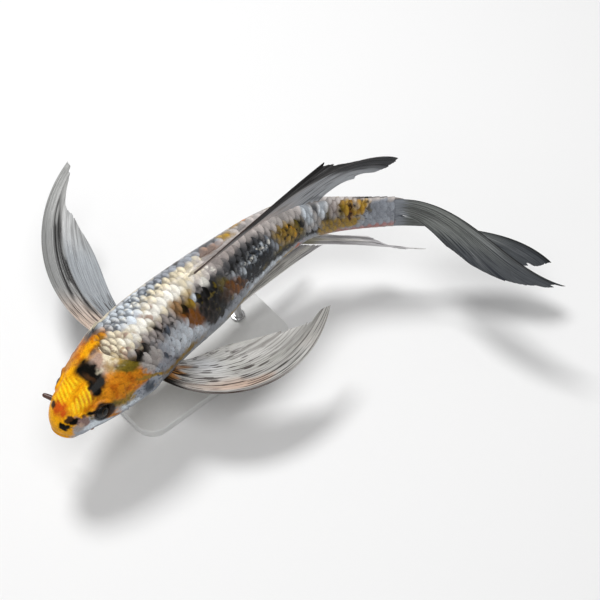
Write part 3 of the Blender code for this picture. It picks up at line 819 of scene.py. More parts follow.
def build_skin():
    """One skin over head, gill covers, jaw, trunk and tail stalk."""
    share, angle = skin_grid()
    surface = body(share, angle)
    normals = unit(np.cross(np.roll(surface, -1, 1) - np.roll(surface, 1, 1), np.gradient(surface, axis=0)))
    degrees = np.degrees(np.minimum(angle, 2 * np.pi - angle))
    gills, rim = gill_relief(share, degrees)
    behind = ramp(past_gill(share, angle), -0.2, 1.4 + 3 * ramp(degrees, 44, 24))
    relief = gills + head_form(share, degrees) - COAT_DEPTH * behind
    relief = relief + fin_root_relief(surface, share, signed_degrees(angle))
    layers = []
    for detail, its_layers in (mouth_relief(surface), nostril_relief(surface), eye_relief(surface)):
        relief = relief + detail
        layers += its_layers
    colours = skin_colours(share, angle, surface, layers)
    # painted shade: darker along the gill slot and on the skin that lies under the scales
    colours = colours * ((1 - 0.44 * rim) * (1 - 0.45 * behind))[..., None]
    points = surface + normals * (relief * MM)[..., None]
    points = np.concatenate([points, tail_cap(points[-1])])
    colours = np.concatenate([colours, np.repeat(colours[-1:], TAIL_RINGS, 0)])
    ring_shares = np.append(share.mean(1), 1 + 0.02 * np.arange(1, TAIL_RINGS + 1) / TAIL_RINGS)
    skin = add_piece(
        "skin",
        np.concatenate([points.reshape(-1, 3), [spine(0.0), points[-1].mean(0)]]),
        *tube_faces(len(points), AROUND),
        np.concatenate([colours.reshape(-1, 3), colours[[0, -1]].mean(1)]),
        uv=bake_place(*unwrapped(ring_shares)),
    )
    settle(skin, SKIN, "koi_skin", *FLESH)


def bake_place(share, turn):
    """Places on the OFBake map, by shares of the body's length and of the way round from the ridge."""
    return np.stack([0.01 + 0.95 * share, 0.02 + 0.96 * turn], -1)


def unwrapped(ring_shares):
    """Share and turn of each corner of the skin's faces; the seam runs along the ridge of the back."""
    share, turn = np.meshgrid(ring_shares, np.arange(AROUND + 1) / AROUND, indexing="ij")
    quads = grid_quads(np.arange(share.size).reshape(share.shape)).ravel()
    low, high = turn[0, :-1], turn[0, 1:]
    nose, tail = np.full((2, AROUND), ((ring_shares[0],), (ring_shares[-1],)))
    end_shares = [np.stack([0 * nose, nose, nose], -1), np.stack([tail + 0.01, tail, tail], -1)]
    end_turns = [np.stack([(low + high) / 2, high, low], -1), np.stack([(low + high) / 2, low, high], -1)]
    shares = np.concatenate([share.ravel()[quads], np.ravel(end_shares)])
    return shares, np.concatenate([turn.ravel()[quads], np.ravel(end_turns)])


# The scales

LINE_ANGLE = math.radians(86)  # the lateral line
PITCH = ((0.15, 7.0), (0.50, 7.4), (0.80, 6.8), (1.00, 5.6))  # mm from scale to scale along the body
ROW_GAP = ((0.15, 6.9), (0.45, 7.2), (0.70, 6.4), (1.00, 5.6))  # mm from row to row at the lateral line
ROW_SHRINK = 0.017  # the share by which each row's distance from the line falls short, for each row
TIP_RISE, ROOT_RISE = 0.08, -0.62  # mm over the body's surface
SCALE_THICK = 0.17
SCALE_LONG, SCALE_WIDE = 1.60, 1.06  # in pitches, and half the width in row gaps
ALONG_CELLS, ACROSS_CELLS = 10, 16
COAT_START, COAT_END = 0.165, 1.010  # shares of the first and last tips
GILL_GAP = 2.0  # mm that the scales' tips stay behind the gill cover's edge
TIP_ROUND = 0.72  # how far a scale's corners fall behind its tip, in pitches
ONE_COLOUR = 0.38  # how far a scale's colours are drawn to its middle's
RIDGE_ROW, BELLY_ROW = 20, 21  # row numbers of the scales along the back's ridge and the belly
REAR_FROM = 0.47  # share where the rear pieces of the coat start
PATCH = 0.003  # a scale's size on the OFBake map
DORSAL_BASE, ANAL_BASE = (0.425, 0.815), (0.735, 0.80)


def girth_tables():
    """Share by share, the half girth and the angle at each fraction of the way from ridge to belly."""
    shares = np.linspace(0.12, 1.0, 177)
    angles = np.linspace(0, np.pi, 241)
    points = body(shares[:, None], angles[None, :])
    steps = np.linalg.norm(np.diff(points, axis=1), axis=2)
    arcs = np.concatenate([np.zeros((len(shares), 1)), np.cumsum(steps, axis=1)], axis=1)
    fractions = np.linspace(0, 1, 201)
    rows = [np.interp(fractions * arc[-1], arc, angles) for arc in arcs]
    line = [np.interp(LINE_ANGLE, angles, arc) for arc in arcs]
    return shares, fractions, arcs[:, -1], np.array(rows), np.array(line)


GIRTH_SHARES, GIRTH_FRACTIONS, HALF_GIRTHS, GIRTH_ANGLES, LINE_ARCS = girth_tables()


def angle_at(share, arc):
    """The angle at an arc length from the ridge of the back, past the ridge or the belly too."""
    half = np.interp(share, GIRTH_SHARES, HALF_GIRTHS)
    fraction = arc / half
    folded = np.abs(fraction)
    past_belly = folded > 1
    folded = np.where(past_belly, 2 - folded, folded)
    r = (share - GIRTH_SHARES[0]) / (GIRTH_SHARES[1] - GIRTH_SHARES[0])
    r = np.clip(r, 0, len(GIRTH_SHARES) - 1.001)
    c = np.clip(folded * (len(GIRTH_FRACTIONS) - 1), 0, len(GIRTH_FRACTIONS) - 1.001)
    i, j = r.astype(int), c.astype(int)
    a, b = r - i, c - j
    low = GIRTH_ANGLES[i, j] * (1 - b) + GIRTH_ANGLES[i, j + 1] * b
    high = GIRTH_ANGLES[i + 1, j] * (1 - b) + GIRTH_ANGLES[i + 1, j + 1] * b
    angle = low * (1 - a) + high * a
    return np.sign(fraction) * np.where(past_belly, 2 * np.pi - angle, angle)


def column_shares():
    """Shares of the scales' tips along the lateral line."""
    share, shares = COAT_START, []
    while share < COAT_END:
        shares.append(share)
        share += table_curve(PITCH, share) * MM / BODY_LENGTH
    return np.array(shares)


def chance(number, seed):
    """A repeatable number from -0.5 to 0.5 for each scale."""
    return lattice(number, 0 * number, 0 * number, seed) - 0.5


def scale_places():
    """Tip share, signed arc from the ridge and row of every scale, and mm behind the gill cover."""
    tips = column_shares()
    side, row, tip = (v.ravel() for v in np.meshgrid((1, -1), np.arange(-12, 13), tips, indexing="ij"))
    gap = table_curve(ROW_GAP, tip) * MM
    share = tip + 0.5 * (row % 2) * table_curve(PITCH, tip) * MM / BODY_LENGTH
    arc = np.interp(share, GIRTH_SHARES, LINE_ARCS) + row * gap * (1 - ROW_SHRINK * np.abs(row))
    half = np.interp(share, GIRTH_SHARES, HALF_GIRTHS)
    flanks = np.stack([share, side * arc, row], -1)[(arc > 0.5 * gap) & (arc < half - 0.5 * gap)]
    belly = np.interp(tips, GIRTH_SHARES, HALF_GIRTHS)
    middles, free = [], []
    for number, arc, (start, end) in ((RIDGE_ROW, 0 * tips, DORSAL_BASE), (BELLY_ROW, belly, ANAL_BASE)):
        middles.append(np.stack([tips, arc, 0 * tips + number], -1))
        free.append((tips <= start + 0.004) | (tips >= end + 0.02))  # clear of the fin's base
    places = np.concatenate([flanks, np.stack(middles, 1)[np.stack(free, 1)]])
    behind = past_gill(places[:, 0], angle_at(places[:, 0], places[:, 1]))
    keep = (behind > GILL_GAP) & (places[:, 0] < COAT_END)
    return places[keep], behind[keep]


def scale_template():
    """One closed scale: its points in pitches and half widths, which are on top, and its faces."""
    across = np.sin(np.linspace(-np.pi / 2, np.pi / 2, ACROSS_CELLS + 1))
    along = np.linspace(0, 1, ALONG_CELLS + 1) ** 0.8
    round_tip = TIP_ROUND * (1 - np.clip(1 - np.abs(across) ** 2.3, 0, 1) ** (1 / 2.3))
    before = SCALE_LONG + (round_tip - SCALE_LONG) * along[:, None]
    wide = np.broadcast_to(across, before.shape)
    grid = np.arange(before.size).reshape(before.shape)
    border = grid_border(grid)
    under = grid.size + np.arange(len(border))
    rim = np.stack([np.roll(border, -1), border, under, np.roll(under, -1)], -1)
    both = np.append(grid, border)
    top = np.arange(len(both)) < grid.size
    quads = np.concatenate([grid_quads(grid), rim])
    return before.ravel()[both], wide.ravel()[both], top, quads, zigzag(under)


def zigzag(loop):
    """Triangles that close a loop of points by going to and fro across it."""
    k = np.arange(len(loop) - 2)
    a, b = (k + 1) // 2, len(loop) - 1 - k // 2
    return loop[np.stack([a, b, np.where(k % 2, b - 1, a + 1)], -1)]


def scale_colours(share, angle, centre_share, centre_angle, before, wide, number):
    """Pigment of each scale point: its place on the body, the pocket's net and the scale's rim."""
    own, spread = ONE_COLOUR, 1 - ONE_COLOUR
    colours = paint(centre_share * own + share * spread, centre_angle * own + angle * spread)
    net, strength = pocket(centre_share, centre_angle)
    grain = noise(*spread_out(share, np.degrees(angle)), number * 1.7, 0.9, 8)
    start = 0.34 - 0.20 * strength
    root = ramp(before + 0.15 * grain, start, start + 0.36)
    side = ramp(np.abs(wide), 0.40, 0.72) * ramp(before, 0.0, 0.40)
    colours = mix(colours, net, strength * np.clip(0.95 * root + 0.42 * side, 0, 1))
    colours = colours * (0.98 + 0.32 * chance(number, 3))[..., None]
    rim = ramp(before - 0.5 * (1 - np.sqrt(np.clip(1 - wide**2, 0, 1))), 0.12, 0.0)
    return mix(colours, net, 0.40 * strength * rim) * (1 + 0.14 * grain)[..., None]


def build_scales():
    """The coat: closed, overlapping scales in rows along the body, joined into four pieces."""
    places, behind = scale_places()
    before, wide, top, quads, tris = scale_template()
    tip, arc, row = places.T[..., None]
    number = np.arange(len(places))[:, None]
    pitch = table_curve(PITCH, tip) * MM * (1 + 0.05 * chance(number, 11))
    gap = table_curve(ROW_GAP, tip) * MM * (1 + 0.06 * chance(number, 12))
    gap = gap * (1 - 2 * ROW_SHRINK * np.minimum(np.abs(row), 9))
    side = np.where(arc < 0, -1, 1)
    share = tip - before * pitch / BODY_LENGTH
    angle = side * angle_at(share, np.abs(arc) + side * wide * gap * SCALE_WIDE)
    tuck = 0.55 * np.exp(-np.maximum(behind[:, None] - GILL_GAP, 0) / 4) + 0.35 * ramp(tip, 0.97, 1.0)
    lift = 0.10 * (row >= RIDGE_ROW) + 0.05 * chance(number, 13)
    flat = 1 - 0.35 * ramp(np.degrees(angle_at(tip, np.abs(arc))), 40, 70)
    slope = (TIP_RISE - ROOT_RISE) / SCALE_LONG * flat
    dome = 0.10 * flat * (1 - wide**2) * ramp(before, 1.3, 0.4) - 0.08 * ramp(before, 0.16, 0.0)
    pores = 0.16 * (row == 0) * bump_at(wide, 0.10) * ramp(before, 0.20, 0.35)
    rise = TIP_RISE - slope * before + dome + pores + lift - tuck - (1 - top) * SCALE_THICK
    points = body(share, angle, rise * MM)
    centre = tip - 0.45 * pitch / BODY_LENGTH
    centre_angle = side * angle_at(centre, np.abs(arc))
    colours = scale_colours(share, angle, centre, centre_angle, before, wide, number)
    colours = layered(colours, ("black", 0.6 * (row == 0) * bump_at(np.hypot(before - 0.30, wide), 0.08)))
    local = np.stack(np.broadcast_arrays(before * pitch / MM, wide * gap / MM, number), -1)
    uv = bake_place(tip, centre_angle / (2 * np.pi) % 1)
    uv = uv + np.stack([0.5 - before / SCALE_LONG, wide / 2], -1) * PATCH
    zone = (tip > REAR_FROM)[:, 0] * 2 + (arc < 0)[:, 0]
    for index, name in enumerate(("front_left", "front_right", "rear_left", "rear_right")):
        chosen = zone == index
        first = (np.arange(chosen.sum()) * len(before))[:, None, None]
        spots, *fields = (v[chosen].reshape(-1, v.shape[-1]) for v in (points, colours, local, uv))
        piece = add_piece(f"scales_{name}", spots, quads + first, tris + first, *fields, sharp_deg=50)
        settle(piece, SCALE, "koi_skin")


# The fins

# base: (share, degrees) of the first and last ray. rays: u, length in mm, then heading and pitch in degrees
# at the root, middle and tip, the same as in the CAD source.
DORSAL = {
    "base": ((0.425, 8), (0.815, 2)),
    "rays": (
        (0.00, 133, -9, 26, -8, 26, 0, 8),
        (0.12, 126, -14, 25, -10, 26, -5, 5),
        (0.30, 133, -8, 20, -15, 25, -36, 8),
        (0.55, 125, -14, 20, -23, 29, -48, 0),
        (0.80, 82, -20, 20, -30, 34, -58, -2),
        (1.00, 39, -10, 38, -34, 46, -42, 18),
    ),
}
TAIL_UPPER = {
    "base": ((0.995, 8), (0.995, 84)),
    "rays": (
        (0.00, 154, -36, 4, -82, -8, -65, 6),
        (0.30, 140, -40, 1, -84, -8, -68, 5),
        (0.60, 117, -38, -2, -87, -6, -80, -4),
        (0.85, 83, -37, -7, -86, -5, -90, -11),
        (1.00, 52, -36, -8, -79, -8, -85, -14),
    ),
}
TAIL_LOWER = {
    "base": ((0.995, 98), (0.995, 172)),
    "rays": (
        (0.00, 48, -31, -8, -53, -20, -90, -9),
        (0.30, 85, -31, 0, -59, -14, -78, -11),
        (0.60, 118, -34, 0, -55, -12, -82, -5),
        (1.00, 136, -38, -10, -46, -8, -90, -7),
    ),
}
PECTORAL_LEFT = {
    "base": ((0.262, 126), (0.318, 112)),
    "rays": (
        (0.00, 169, -76, 4, -15, 0, 38, 22),
        (0.30, 149, -74, 4, -13, 0, 22, 22),
        (0.55, 114, -62, 2, -20, 1, 12, 18),
        (0.80, 83, -42, -14, -22, 6, 0, 4),
        (1.00, 42, -32, -16, -18, 6, -28, 0),
    ),
}
PECTORAL_RIGHT = {
    "base": ((0.262, -126), (0.318, -112)),
    "rays": (
        (0.00, 191, 112, 0, 65, 7, 16, 13),
        (0.30, 177, 113, -2, 65, 8, 22, 9),
        (0.50, 133, 101, -4, 74, 6, 40, 10),
        (0.70, 119, 101, -6, 72, 6, 52, 8),
        (1.00, 98, 92, -6, 70, 2, 86, 3),
    ),
}
PELVIC_LEFT = {
    "base": ((0.490, 140), (0.525, 158)),
    "rays": (
        (0.00, 110, 10, -10, 4, -4, -5, 2),
        (0.50, 98, 8, -10, 7, -2, -6, 3),
        (1.00, 82, 10, -12, 12, 2, -14, 10),
    ),
}
PELVIC_RIGHT = {
    "base": ((0.490, -140), (0.525, -158)),
    "rays": (
        (0.00, 106, 9, -18, 1, -2, 4, 1),
        (0.50, 95, 10, -16, -2, -2, 2, 1),
        (1.00, 60, 16, -20, -6, -6, 0, 0),
    ),
}
ANAL = {
    "base": ((0.735, 180), (0.800, 180)),
    "rays": (
        (0.00, 116, -29, -10, -37, -10, -44, 2),
        (0.50, 80, -38, -18, -32, -14, -62, 0),
        (1.00, 50, -37, -22, -28, -20, -40, -6),
    ),
}
FIN_SUNK = 2.5 * MM
WEB_THICK, RAY_THICK, ROOT_THICK = 0.25, 0.42, 1.1  # mm on each side of the fin's middle surface
UPPER_SEED = 31  # the seed of the tail fin's upper lobe


def fin_rows(fin, along, u, cut):
    """Points of a fin's middle surface: one row for each u, shortened by the share in cut."""
    share, angle = (first + (last - first) * u for first, last in zip(*fin["base"]))
    base = body(share, np.radians(angle), -FIN_SUNK)[:, None]
    columns = [[(row[0], value) for row, value in zip(fin["rays"], values)] for values in zip(*fin["rays"])]
    length, *turns = (table_curve(column, u)[:, None] for column in columns[1:])
    reach = 1 - cut[:, None]
    t = (np.arange(along) + 0.5) / along * reach
    weights = ((1 - t) * (1 - 2 * t), 4 * t * (1 - t), t * (2 * t - 1))
    heading, pitch = (np.radians(sum(w * turn for w, turn in zip(weights, turns[k::2]))) for k in (0, 1))
    moves = direction(heading, pitch) * (length * MM * reach / along)[..., None]
    return np.concatenate([base, base + np.cumsum(moves, axis=1)], axis=1)


def ray_phase(u, v, rays):
    """Height from 0 to 1 of the rays, which split in two twice on their way out."""
    whole, halves, quarters = (np.cos(parts * np.pi * rays * u) ** 2 for parts in (1, 2, 4))
    once, twice = ramp(v, 0.25, 0.5), ramp(v, 0.62, 0.85)
    return ((whole * (1 - once) + halves * once) * (1 - twice) + quarters * twice) ** 1.5


def build_fin(name, fin, rays, cells, colour_of, web_shade_ray_light, ragged, seed):
    """A closed blade with raised, branching rays and a frayed outer edge.

    cells go across and along; the two shading numbers paint shade on the web between the raised rays and
    light on the rays; ragged sets how deep it frays.
    """
    u, v = (np.linspace(0, 1, count + 1) for count in cells)
    tears = ramp(noise(u * 100, 0, 0, 9, seed), 0.25, 0.75)
    web = 1 - ray_phase(u, 1.0, rays / 2)
    cut = ragged * (0.12 * web + 1.6 * tears + 0.20 * noise(u * 100, 0, 0, 2.5, seed + 1) + 0.20)
    cut = np.clip(cut * ramp(u, 0.0, 0.06) * ramp(u, 1.0, 0.94), 0, 0.5)
    middle = fin_rows(fin, cells[1], u, cut)
    outwards = np.gradient(middle, axis=1)
    normal = unit(np.cross(np.gradient(middle, axis=0), outwards))
    u, v = np.meshgrid(u, v, indexing="ij")
    from_root = v * np.linalg.norm(outwards, axis=-1).sum(1, keepdims=True) / MM
    ray = ray_phase(u, v, rays)
    wave = 0.9 * noise(u * 40, v * 12, 0, 6, seed + 2) * ramp(v, 0.15, 0.6)
    edge = 0.4 + 0.6 * np.minimum(ramp(v, 1.0, 0.97), np.minimum(ramp(u, 0, 0.012), ramp(u, 1, 0.988)))
    half = (WEB_THICK + RAY_THICK * ray * (1 - 0.6 * v) + ROOT_THICK * np.exp(-from_root / 7)) * edge
    faces = [middle + normal * ((wave + way * half) * MM)[..., None] for way in (1, -1)]
    # painted shade on the web between the raised rays, with the rays painted lighter
    colours = colour_of(u, v, from_root, seed) * (web_shade_ray_light[0] + web_shade_ray_light[1] * ray)[..., None]
    grid = np.arange(u.size).reshape(u.shape)
    quads, border = grid_quads(grid), grid_border(grid)
    after = np.roll(border, -1)
    rim = np.stack([border, after, after + u.size, border + u.size], -1)
    piece = add_piece(
        f"{name}_blade",
        np.reshape(faces, (-1, 3)),
        np.concatenate([quads[:, [0, 3, 2, 1]], quads + u.size, rim]),
        colours=np.tile(colours.reshape(-1, 3), (2, 1)),
        places=np.tile(np.stack([u * rays, v, from_root], -1).reshape(-1, 3), (2, 1)),
        sharp_deg=70,
    )
    return settle(piece, FIN, "fin", name)


def streaks(u, v, seed, fine=26, low=0.1, high=0.7):
    """Dark streaks that run along the rays."""
    drift = 0.010 * noise(u * 20, v * 6, 0, 2, seed)
    lines = noise((u + drift) * 100, v * 7, 0, 50 / fine, seed + 5)
    return ramp(lines + 0.3 * noise(u * 100, v * 10, 0, 2.0, seed + 6), low, high)


def ray_lines(u, v, seed, centres, half):
    """Dark lines along a few rays, broken here and there."""
    drift = u + 0.012 * noise(v * 10, 0, 0, 3, seed)
    lines = sum(bump_at(drift - centre, half) for centre in centres)
    return np.clip(lines, 0, 1) * ramp(noise(u * 30, v * 12, 0, 1.6, seed + 8), -0.75, -0.1)


def pectoral_right_colours(u, v, from_root, seed):
    """Grey in front and paler behind, with three black rays between, and a cream root with brown dashes."""
    dashes = streaks(u, v * 2, seed + 20, 44, 0.15, 0.5) * ramp(v, 0.50, 0.20)
    black = ray_lines(u, v, seed, (0.36, 0.42, 0.47), 0.027) * ramp(v, 0.08, 0.2) * ramp(v, 0.96, 0.80)
    return layered(
        hue((150, 151, 150)),
        ((162, 167, 172), ramp(u, 0.44, 0.56)),
        ((196, 196, 194), 0.7 * ramp(v, 0.62, 0.95)),
        ((84, 82, 80), 0.40 * streaks(u, v, seed)),
        ((236, 212, 194), 0.80 * ramp(v, 0.40, 0.14) * ramp(u, 0.62, 0.42)),
        ((40, 28, 22), 0.85 * dashes),
        ((18, 17, 16), 0.95 * black),
    )


def pectoral_left_colours(u, v, from_root, seed):
    """Pale grey with blushes and dark dashes, black rays towards the tip, and an orange and black root."""
    blush = ramp(noise(u * 30, v * 30, 0, 5, seed + 2), -0.2, 0.5) * ramp(u, 0.5, 0.2)
    dull = ramp(noise(u * 12, v * 12, 0, 4, seed + 3), -0.3, 0.3) * bump_at(u - 0.72, 0.26)
    dashes = streaks(u, v * 2, seed + 20, 40, 0.26, 0.55) * ramp(v, 0.95, 0.50)
    black = ray_lines(u, v, seed, (0.03, 0.12, 0.21, 0.30), 0.012) * ramp(v, 0.30, 0.60)
    reach = from_root + 7 * noise(u * 30, v * 20, 0, 3, seed + 9)
    specks = ramp(noise(u * 60, v * 40, 0, 2.2, seed + 12), 0.05, 0.35) * ramp(reach, 20, 9)
    return layered(
        hue((194, 192, 188)),
        ((84, 76, 70), 0.50 * streaks(u, v, seed)),
        ((222, 190, 168), 0.75 * blush * bump_at(v - 0.42, 0.24)),
        ((160, 162, 148), 0.60 * dull * bump_at(v - 0.66, 0.22)),
        ((222, 224, 228), 0.70 * bump_at(u - 0.80, 0.24) * bump_at(v - 0.26, 0.16)),
        ((44, 32, 28), 0.85 * dashes),
        ((24, 22, 21), 0.90 * black),
        ((52, 30, 24), 0.85 * bump_at(u, 0.05) * ramp(v, 0.72, 0.5)),
        ((186, 124, 44), 0.85 * ramp(reach, 12, 5) * ramp(u, 0.85, 0.6)),
        ("black", 0.90 * specks * ramp(u, 0.75, 0.5)),
        ("black", 0.90 * ramp(reach, 24, 12) * ramp(u + 0.004 * reach, 0.34, 0.16)),
    )


def dorsal_colours(u, v, from_root, seed):
    """Pale, faintly pink and streaky by the back, with black outer ends and a dark first ray."""
    ragged = v + 0.07 * noise(u * 50, v * 5, 0, 4, seed + 3)
    low = 0.32 + 0.20 * ramp(u, 0.20, 0.55)
    upper = ramp(ragged, low, low + 0.14) * ramp(u, 0.82, 0.70)
    band = np.maximum(0.94 * upper, ramp(ragged, 0.22, 0.55) * ramp(u, 0.16, 0.05))
    return layered(
        hue((166, 162, 162)),
        ((186, 189, 194), ramp(u, 0.25, 0.7)),
        ((62, 62, 64), 0.62 * streaks(u, v, seed, 44)),
        ((226, 206, 194), 0.5 * ramp(v, 0.30, 0.08) * ramp(u, 0.9, 0.5)),
        ((14, 13, 14), 0.93 * band),
        ((120, 120, 122), 0.35 * band * streaks(u, v, seed + 40, 40, 0.35, 0.8)),
        ((48, 28, 20), 0.9 * bump_at(u, 0.035) * ramp(v, 0.7, 0.4)),
    )


def tail_colours(u, v, from_root, seed):
    """Dark grey with light rays, bluish towards the ends, with a black outer edge and a pale root."""
    light = streaks(u, v, seed + 30, 24, 0.45, 0.8) * ramp(v, 1.1, 0.5)
    from_edge = u if seed == UPPER_SEED else 1 - u
    return layered(
        hue((122, 125, 122)),
        ((30, 31, 33), 0.70 * streaks(u, v, seed, 30)),
        ((44, 48, 58), 0.75 * ramp(v, 0.30, 0.90)),
        ((160, 162, 164), 0.40 * light),
        ((10, 10, 10), 0.95 * bump_at(from_edge, 0.07)),
        ("blue_grey", 0.75 * ramp(from_root + 4 * noise(u * 30, 0, 0, 2, seed + 9), 15, 4)),
    )


def ribbon_colours(u, v, from_root, seed):
    """Pale lilac grey with dark dashes along the rays and a dull gold patch by the root."""
    patch = ramp(from_root + 6 * noise(u * 30, v * 20, 0, 3, seed + 9), 30, 12) * ramp(from_root, 2, 8)
    return layered(
        hue((206, 204, 206)),
        ((246, 244, 240), ramp(noise(u * 20, v * 9, 0, 5, seed + 2), -0.2, 0.5)),
        ((88, 82, 80), 0.60 * streaks(u, v, seed, 34, 0.25, 0.6)),
        ((150, 140, 84), 0.55 * patch * ramp(u, 0.75, 0.45)),
    )


def build_fins():
    tail, ribbon = (tail_colours, (0.78, 0.34)), (ribbon_colours, (0.86, 0.18))
    right, left = (pectoral_right_colours, (0.82, 0.24)), (pectoral_left_colours, (0.84, 0.22))
    dorsal = build_fin("dorsal_fin", DORSAL, 21, (168, 64), dorsal_colours, (0.80, 0.28), 0.03, 21)
    dorsal.visible_shadow = False  # its thin web lets the light through to the back
    build_fin("tail_fin_upper", TAIL_UPPER, 10, (96, 84), *tail, 0.02, UPPER_SEED)
    build_fin("tail_fin_lower", TAIL_LOWER, 9, (96, 76), *tail, 0.02, 41)
    build_fin("pectoral_fin_left", PECTORAL_LEFT, 15, (132, 84), *left, 0.02, 51)
    build_fin("pectoral_fin_right", PECTORAL_RIGHT, 15, (132, 92), *right, 0.015, 61)
    build_fin("pelvic_fin_left", PELVIC_LEFT, 9, (72, 56), *ribbon, 0.05, 71)
    build_fin("pelvic_fin_right", PELVIC_RIGHT, 9, (72, 56), *ribbon, 0.05, 81)
    build_fin("anal_fin", ANAL, 7, (60, 60), *ribbon, 0.06, 91)


# Eyes, barbels and the stand


def lathe(profile, axis, origin, around):
    """Points and faces of a closed turned shape; profile rows are (radius, height), ending on the axis."""
    axis = unit(np.array(axis, float))
    radii, heights = np.array(profile, float).T
    path = origin + heights[:, None] * axis
    upright = (0.0, 0.0, 1.0) if abs(axis[2]) < 0.9 else (1.0, 0.0, 0.0)
    along = np.broadcast_to(axis, path[1:-1].shape)
    return tube(path[1:-1], along, upright, radii[1:-1], around, path[[0, -1]])


def build_eyes():
    """Eyeballs with a clear bulge over the pupil; colour goes by the angle from the eye's axis."""
    theta = np.linspace(np.pi, 0, 72)
    flat = np.where(theta < np.pi / 2, EYE_FLAT, 1)
    shape = np.stack([np.sin(theta), np.cos(theta) * flat], -1)
    shape = shape * (1 + 0.035 * bump_at(theta, 0.55))[:, None]
    for side, word in ((1, "left"), (-1, "right")):
        centre, axis, radius = eye_place(side)
        points, quads, tris = lathe(shape * radius, axis, centre, 96)
        away = points - centre
        from_axis = np.arccos(np.clip(unit(away) @ axis, -1, 1))
        across = unit(away - (away @ axis)[:, None] * axis) * radius / MM
        piece = add_piece(f"eyeball_{word}", points, quads, tris, eye_colours(from_axis, *across.T))
        settle(piece, EYE, "eye", f"eye_{word}")


def eye_colours(from_axis, x, y, z):
    """An iris of dark brass with radial threads, darker above, a thin gold ring and a black pupil."""
    threads = noise(x, y, z + from_axis * 3, 0.5, 15)
    return layered(
        hue((44, 33, 22)),
        ((16, 14, 13), ramp(threads, -0.4, 0.6)),
        ((12, 11, 12), 0.9 * ramp(z, -1.5, 1.5)),
        ((76, 55, 26), ramp(from_axis, 0.54, 0.50)),
        ((3, 3, 3), ramp(from_axis, 0.50, 0.47)),
        ((12, 11, 12), ramp(from_axis, 0.86, 0.98)),
    )


# side, share, degrees, length, root radius, (heading, pitch) at the root and at the tip, as in the CAD
BARBELS = {
    "barbel_right": (-1, 0.066, 118, 16 * MM, 2.2 * MM, (102, -4), (124, 10)),
    "barbel_left": (1, 0.066, 130, 15 * MM, 2.1 * MM, (70, -62), (40, -40)),
    "lip_barbel_right": (-1, 0.034, 128, 6 * MM, 1.2 * MM, (120, -60), (100, -75)),
    "lip_barbel_left": (1, 0.034, 134, 6 * MM, 1.2 * MM, (60, -70), (50, -60)),
}
BARBEL_SUNK = 1.5 * MM


def build_barbels():
    """Soft feelers, thick at the lip, with faint rings and a rounded tip."""
    steps, around = 44, 28
    for name, (side, share, degrees, length, radius, start, end) in BARBELS.items():
        t = (np.arange(steps) + 0.5) / steps
        heading, pitch = (np.radians(a + (b - a) * t) for a, b in zip(start, end))
        base = body(share, side * math.radians(degrees), -BARBEL_SUNK)
        moves = direction(heading, pitch) * length / steps
        path = base + np.cumsum(np.vstack([np.zeros(3), moves]), axis=0)
        t = np.linspace(0, 1, steps + 1)
        thick = radius * 1.1 * (1 - 0.32 * t**1.5) * (1 + 0.035 * np.sin(t * length / MM * 5.5))
        thick = thick * np.sqrt(np.clip(1 - np.clip((t - 0.86) / 0.14, 0, 1) ** 2, 0.004, 1))
        along = unit(np.gradient(path, axis=0))
        points, quads, tris = tube(path, along, (0.0, 0.0, 1.0), thick, around, path[[0, -1]])
        darker = ramp(np.append(np.repeat(t, around), (0, 1)), 0.10, 0.60)
        colours = layered(hue((150, 84, 44)), ((74, 38, 22), darker))
        piece = add_piece(f"{name}_flesh", points, quads, tris, colours)
        settle(piece, SOFT_SKIN, "barbel", name)


# The stand: insets and heights of the plate's foot in mm, and of the rods' ends as shares of the radius and
# mm up from the foot or from the top
PLATE_CORNER, PLATE_EASE = 16 * MM, 1.2 * MM
PLATE_FOOT = ((0.5, 0), (0, 0.5), (0, 1.6), (0.35, 1.8), (0.35, 2.2), (0, 2.4))
ROD_COLLAR = (
    (0, 0), (1.85, 0), (1.95, 0.3), (1.95, 1.6), (1.85, 1.9), (1.35, 2.0), (1.30, 3.4), (1.20, 3.7),
    (1, 3.8),
)
ROD_GROOVE = ((1, -6), (0.86, -5.8), (0.86, -5.2), (1, -5.0), (1, 0), (0, 0))
ROD_SUNK = 1.5 * MM  # into the belly


def build_base():
    """The stand's plate: rounded corners, an eased top edge and a fine recess line round its foot."""
    low, high = (np.array(corner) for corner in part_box("stand_base"))
    middle, reach = ((low + high) / 2)[:2], ((high - low) / 2)[:2]
    turn = np.linspace(0, 2 * np.pi, 64, endpoint=False) + np.pi / 64
    arc = np.stack([np.cos(turn), np.sin(turn)], -1)
    corners = middle + np.sign(arc) * (reach - PLATE_CORNER)
    ease = np.linspace(0, np.pi / 2, 8)
    eased = np.stack([1 - np.cos(ease), np.sin(ease) - 1], -1) * PLATE_EASE + (0, high[2])
    foot = np.array(PLATE_FOOT) * MM + (0, low[2])
    rings = [np.insert(corners + arc * (PLATE_CORNER - inset), 2, z, 1) for inset, z in (*foot, *eased)]
    points = np.concatenate([*rings, [(*middle, low[2]), (*middle, high[2])]])
    piece = add_piece("stand_plate", points, *tube_faces(len(rings), len(turn)), sharp_deg=35)
    settle(piece, PLATE, "stand_plate", "stand_base")


def build_rods():
    """Brushed steel rods, each with a stepped collar on the plate and a groove under the belly."""
    for place in ("front", "rear"):
        low, high = (np.array(corner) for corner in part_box(f"stand_rod_{place}"))
        radius = (high[0] - low[0]) / 2
        foot = np.array((*(low + high)[:2] / 2, low[2]))
        tall = high[2] - low[2] + ROD_SUNK
        profile = [(radius * wide, up * MM) for wide, up in ROD_COLLAR]
        profile += [(radius, tall * 0.55)]
        profile += [(radius * wide, tall + up * MM) for wide, up in ROD_GROOVE]
        piece = add_piece(f"stand_rod_{place}_steel", *lathe(profile, (0, 0, 1), foot, 56), sharp_deg=30)
        settle(piece, STEEL, "stand_steel", f"stand_rod_{place}")


# Materials


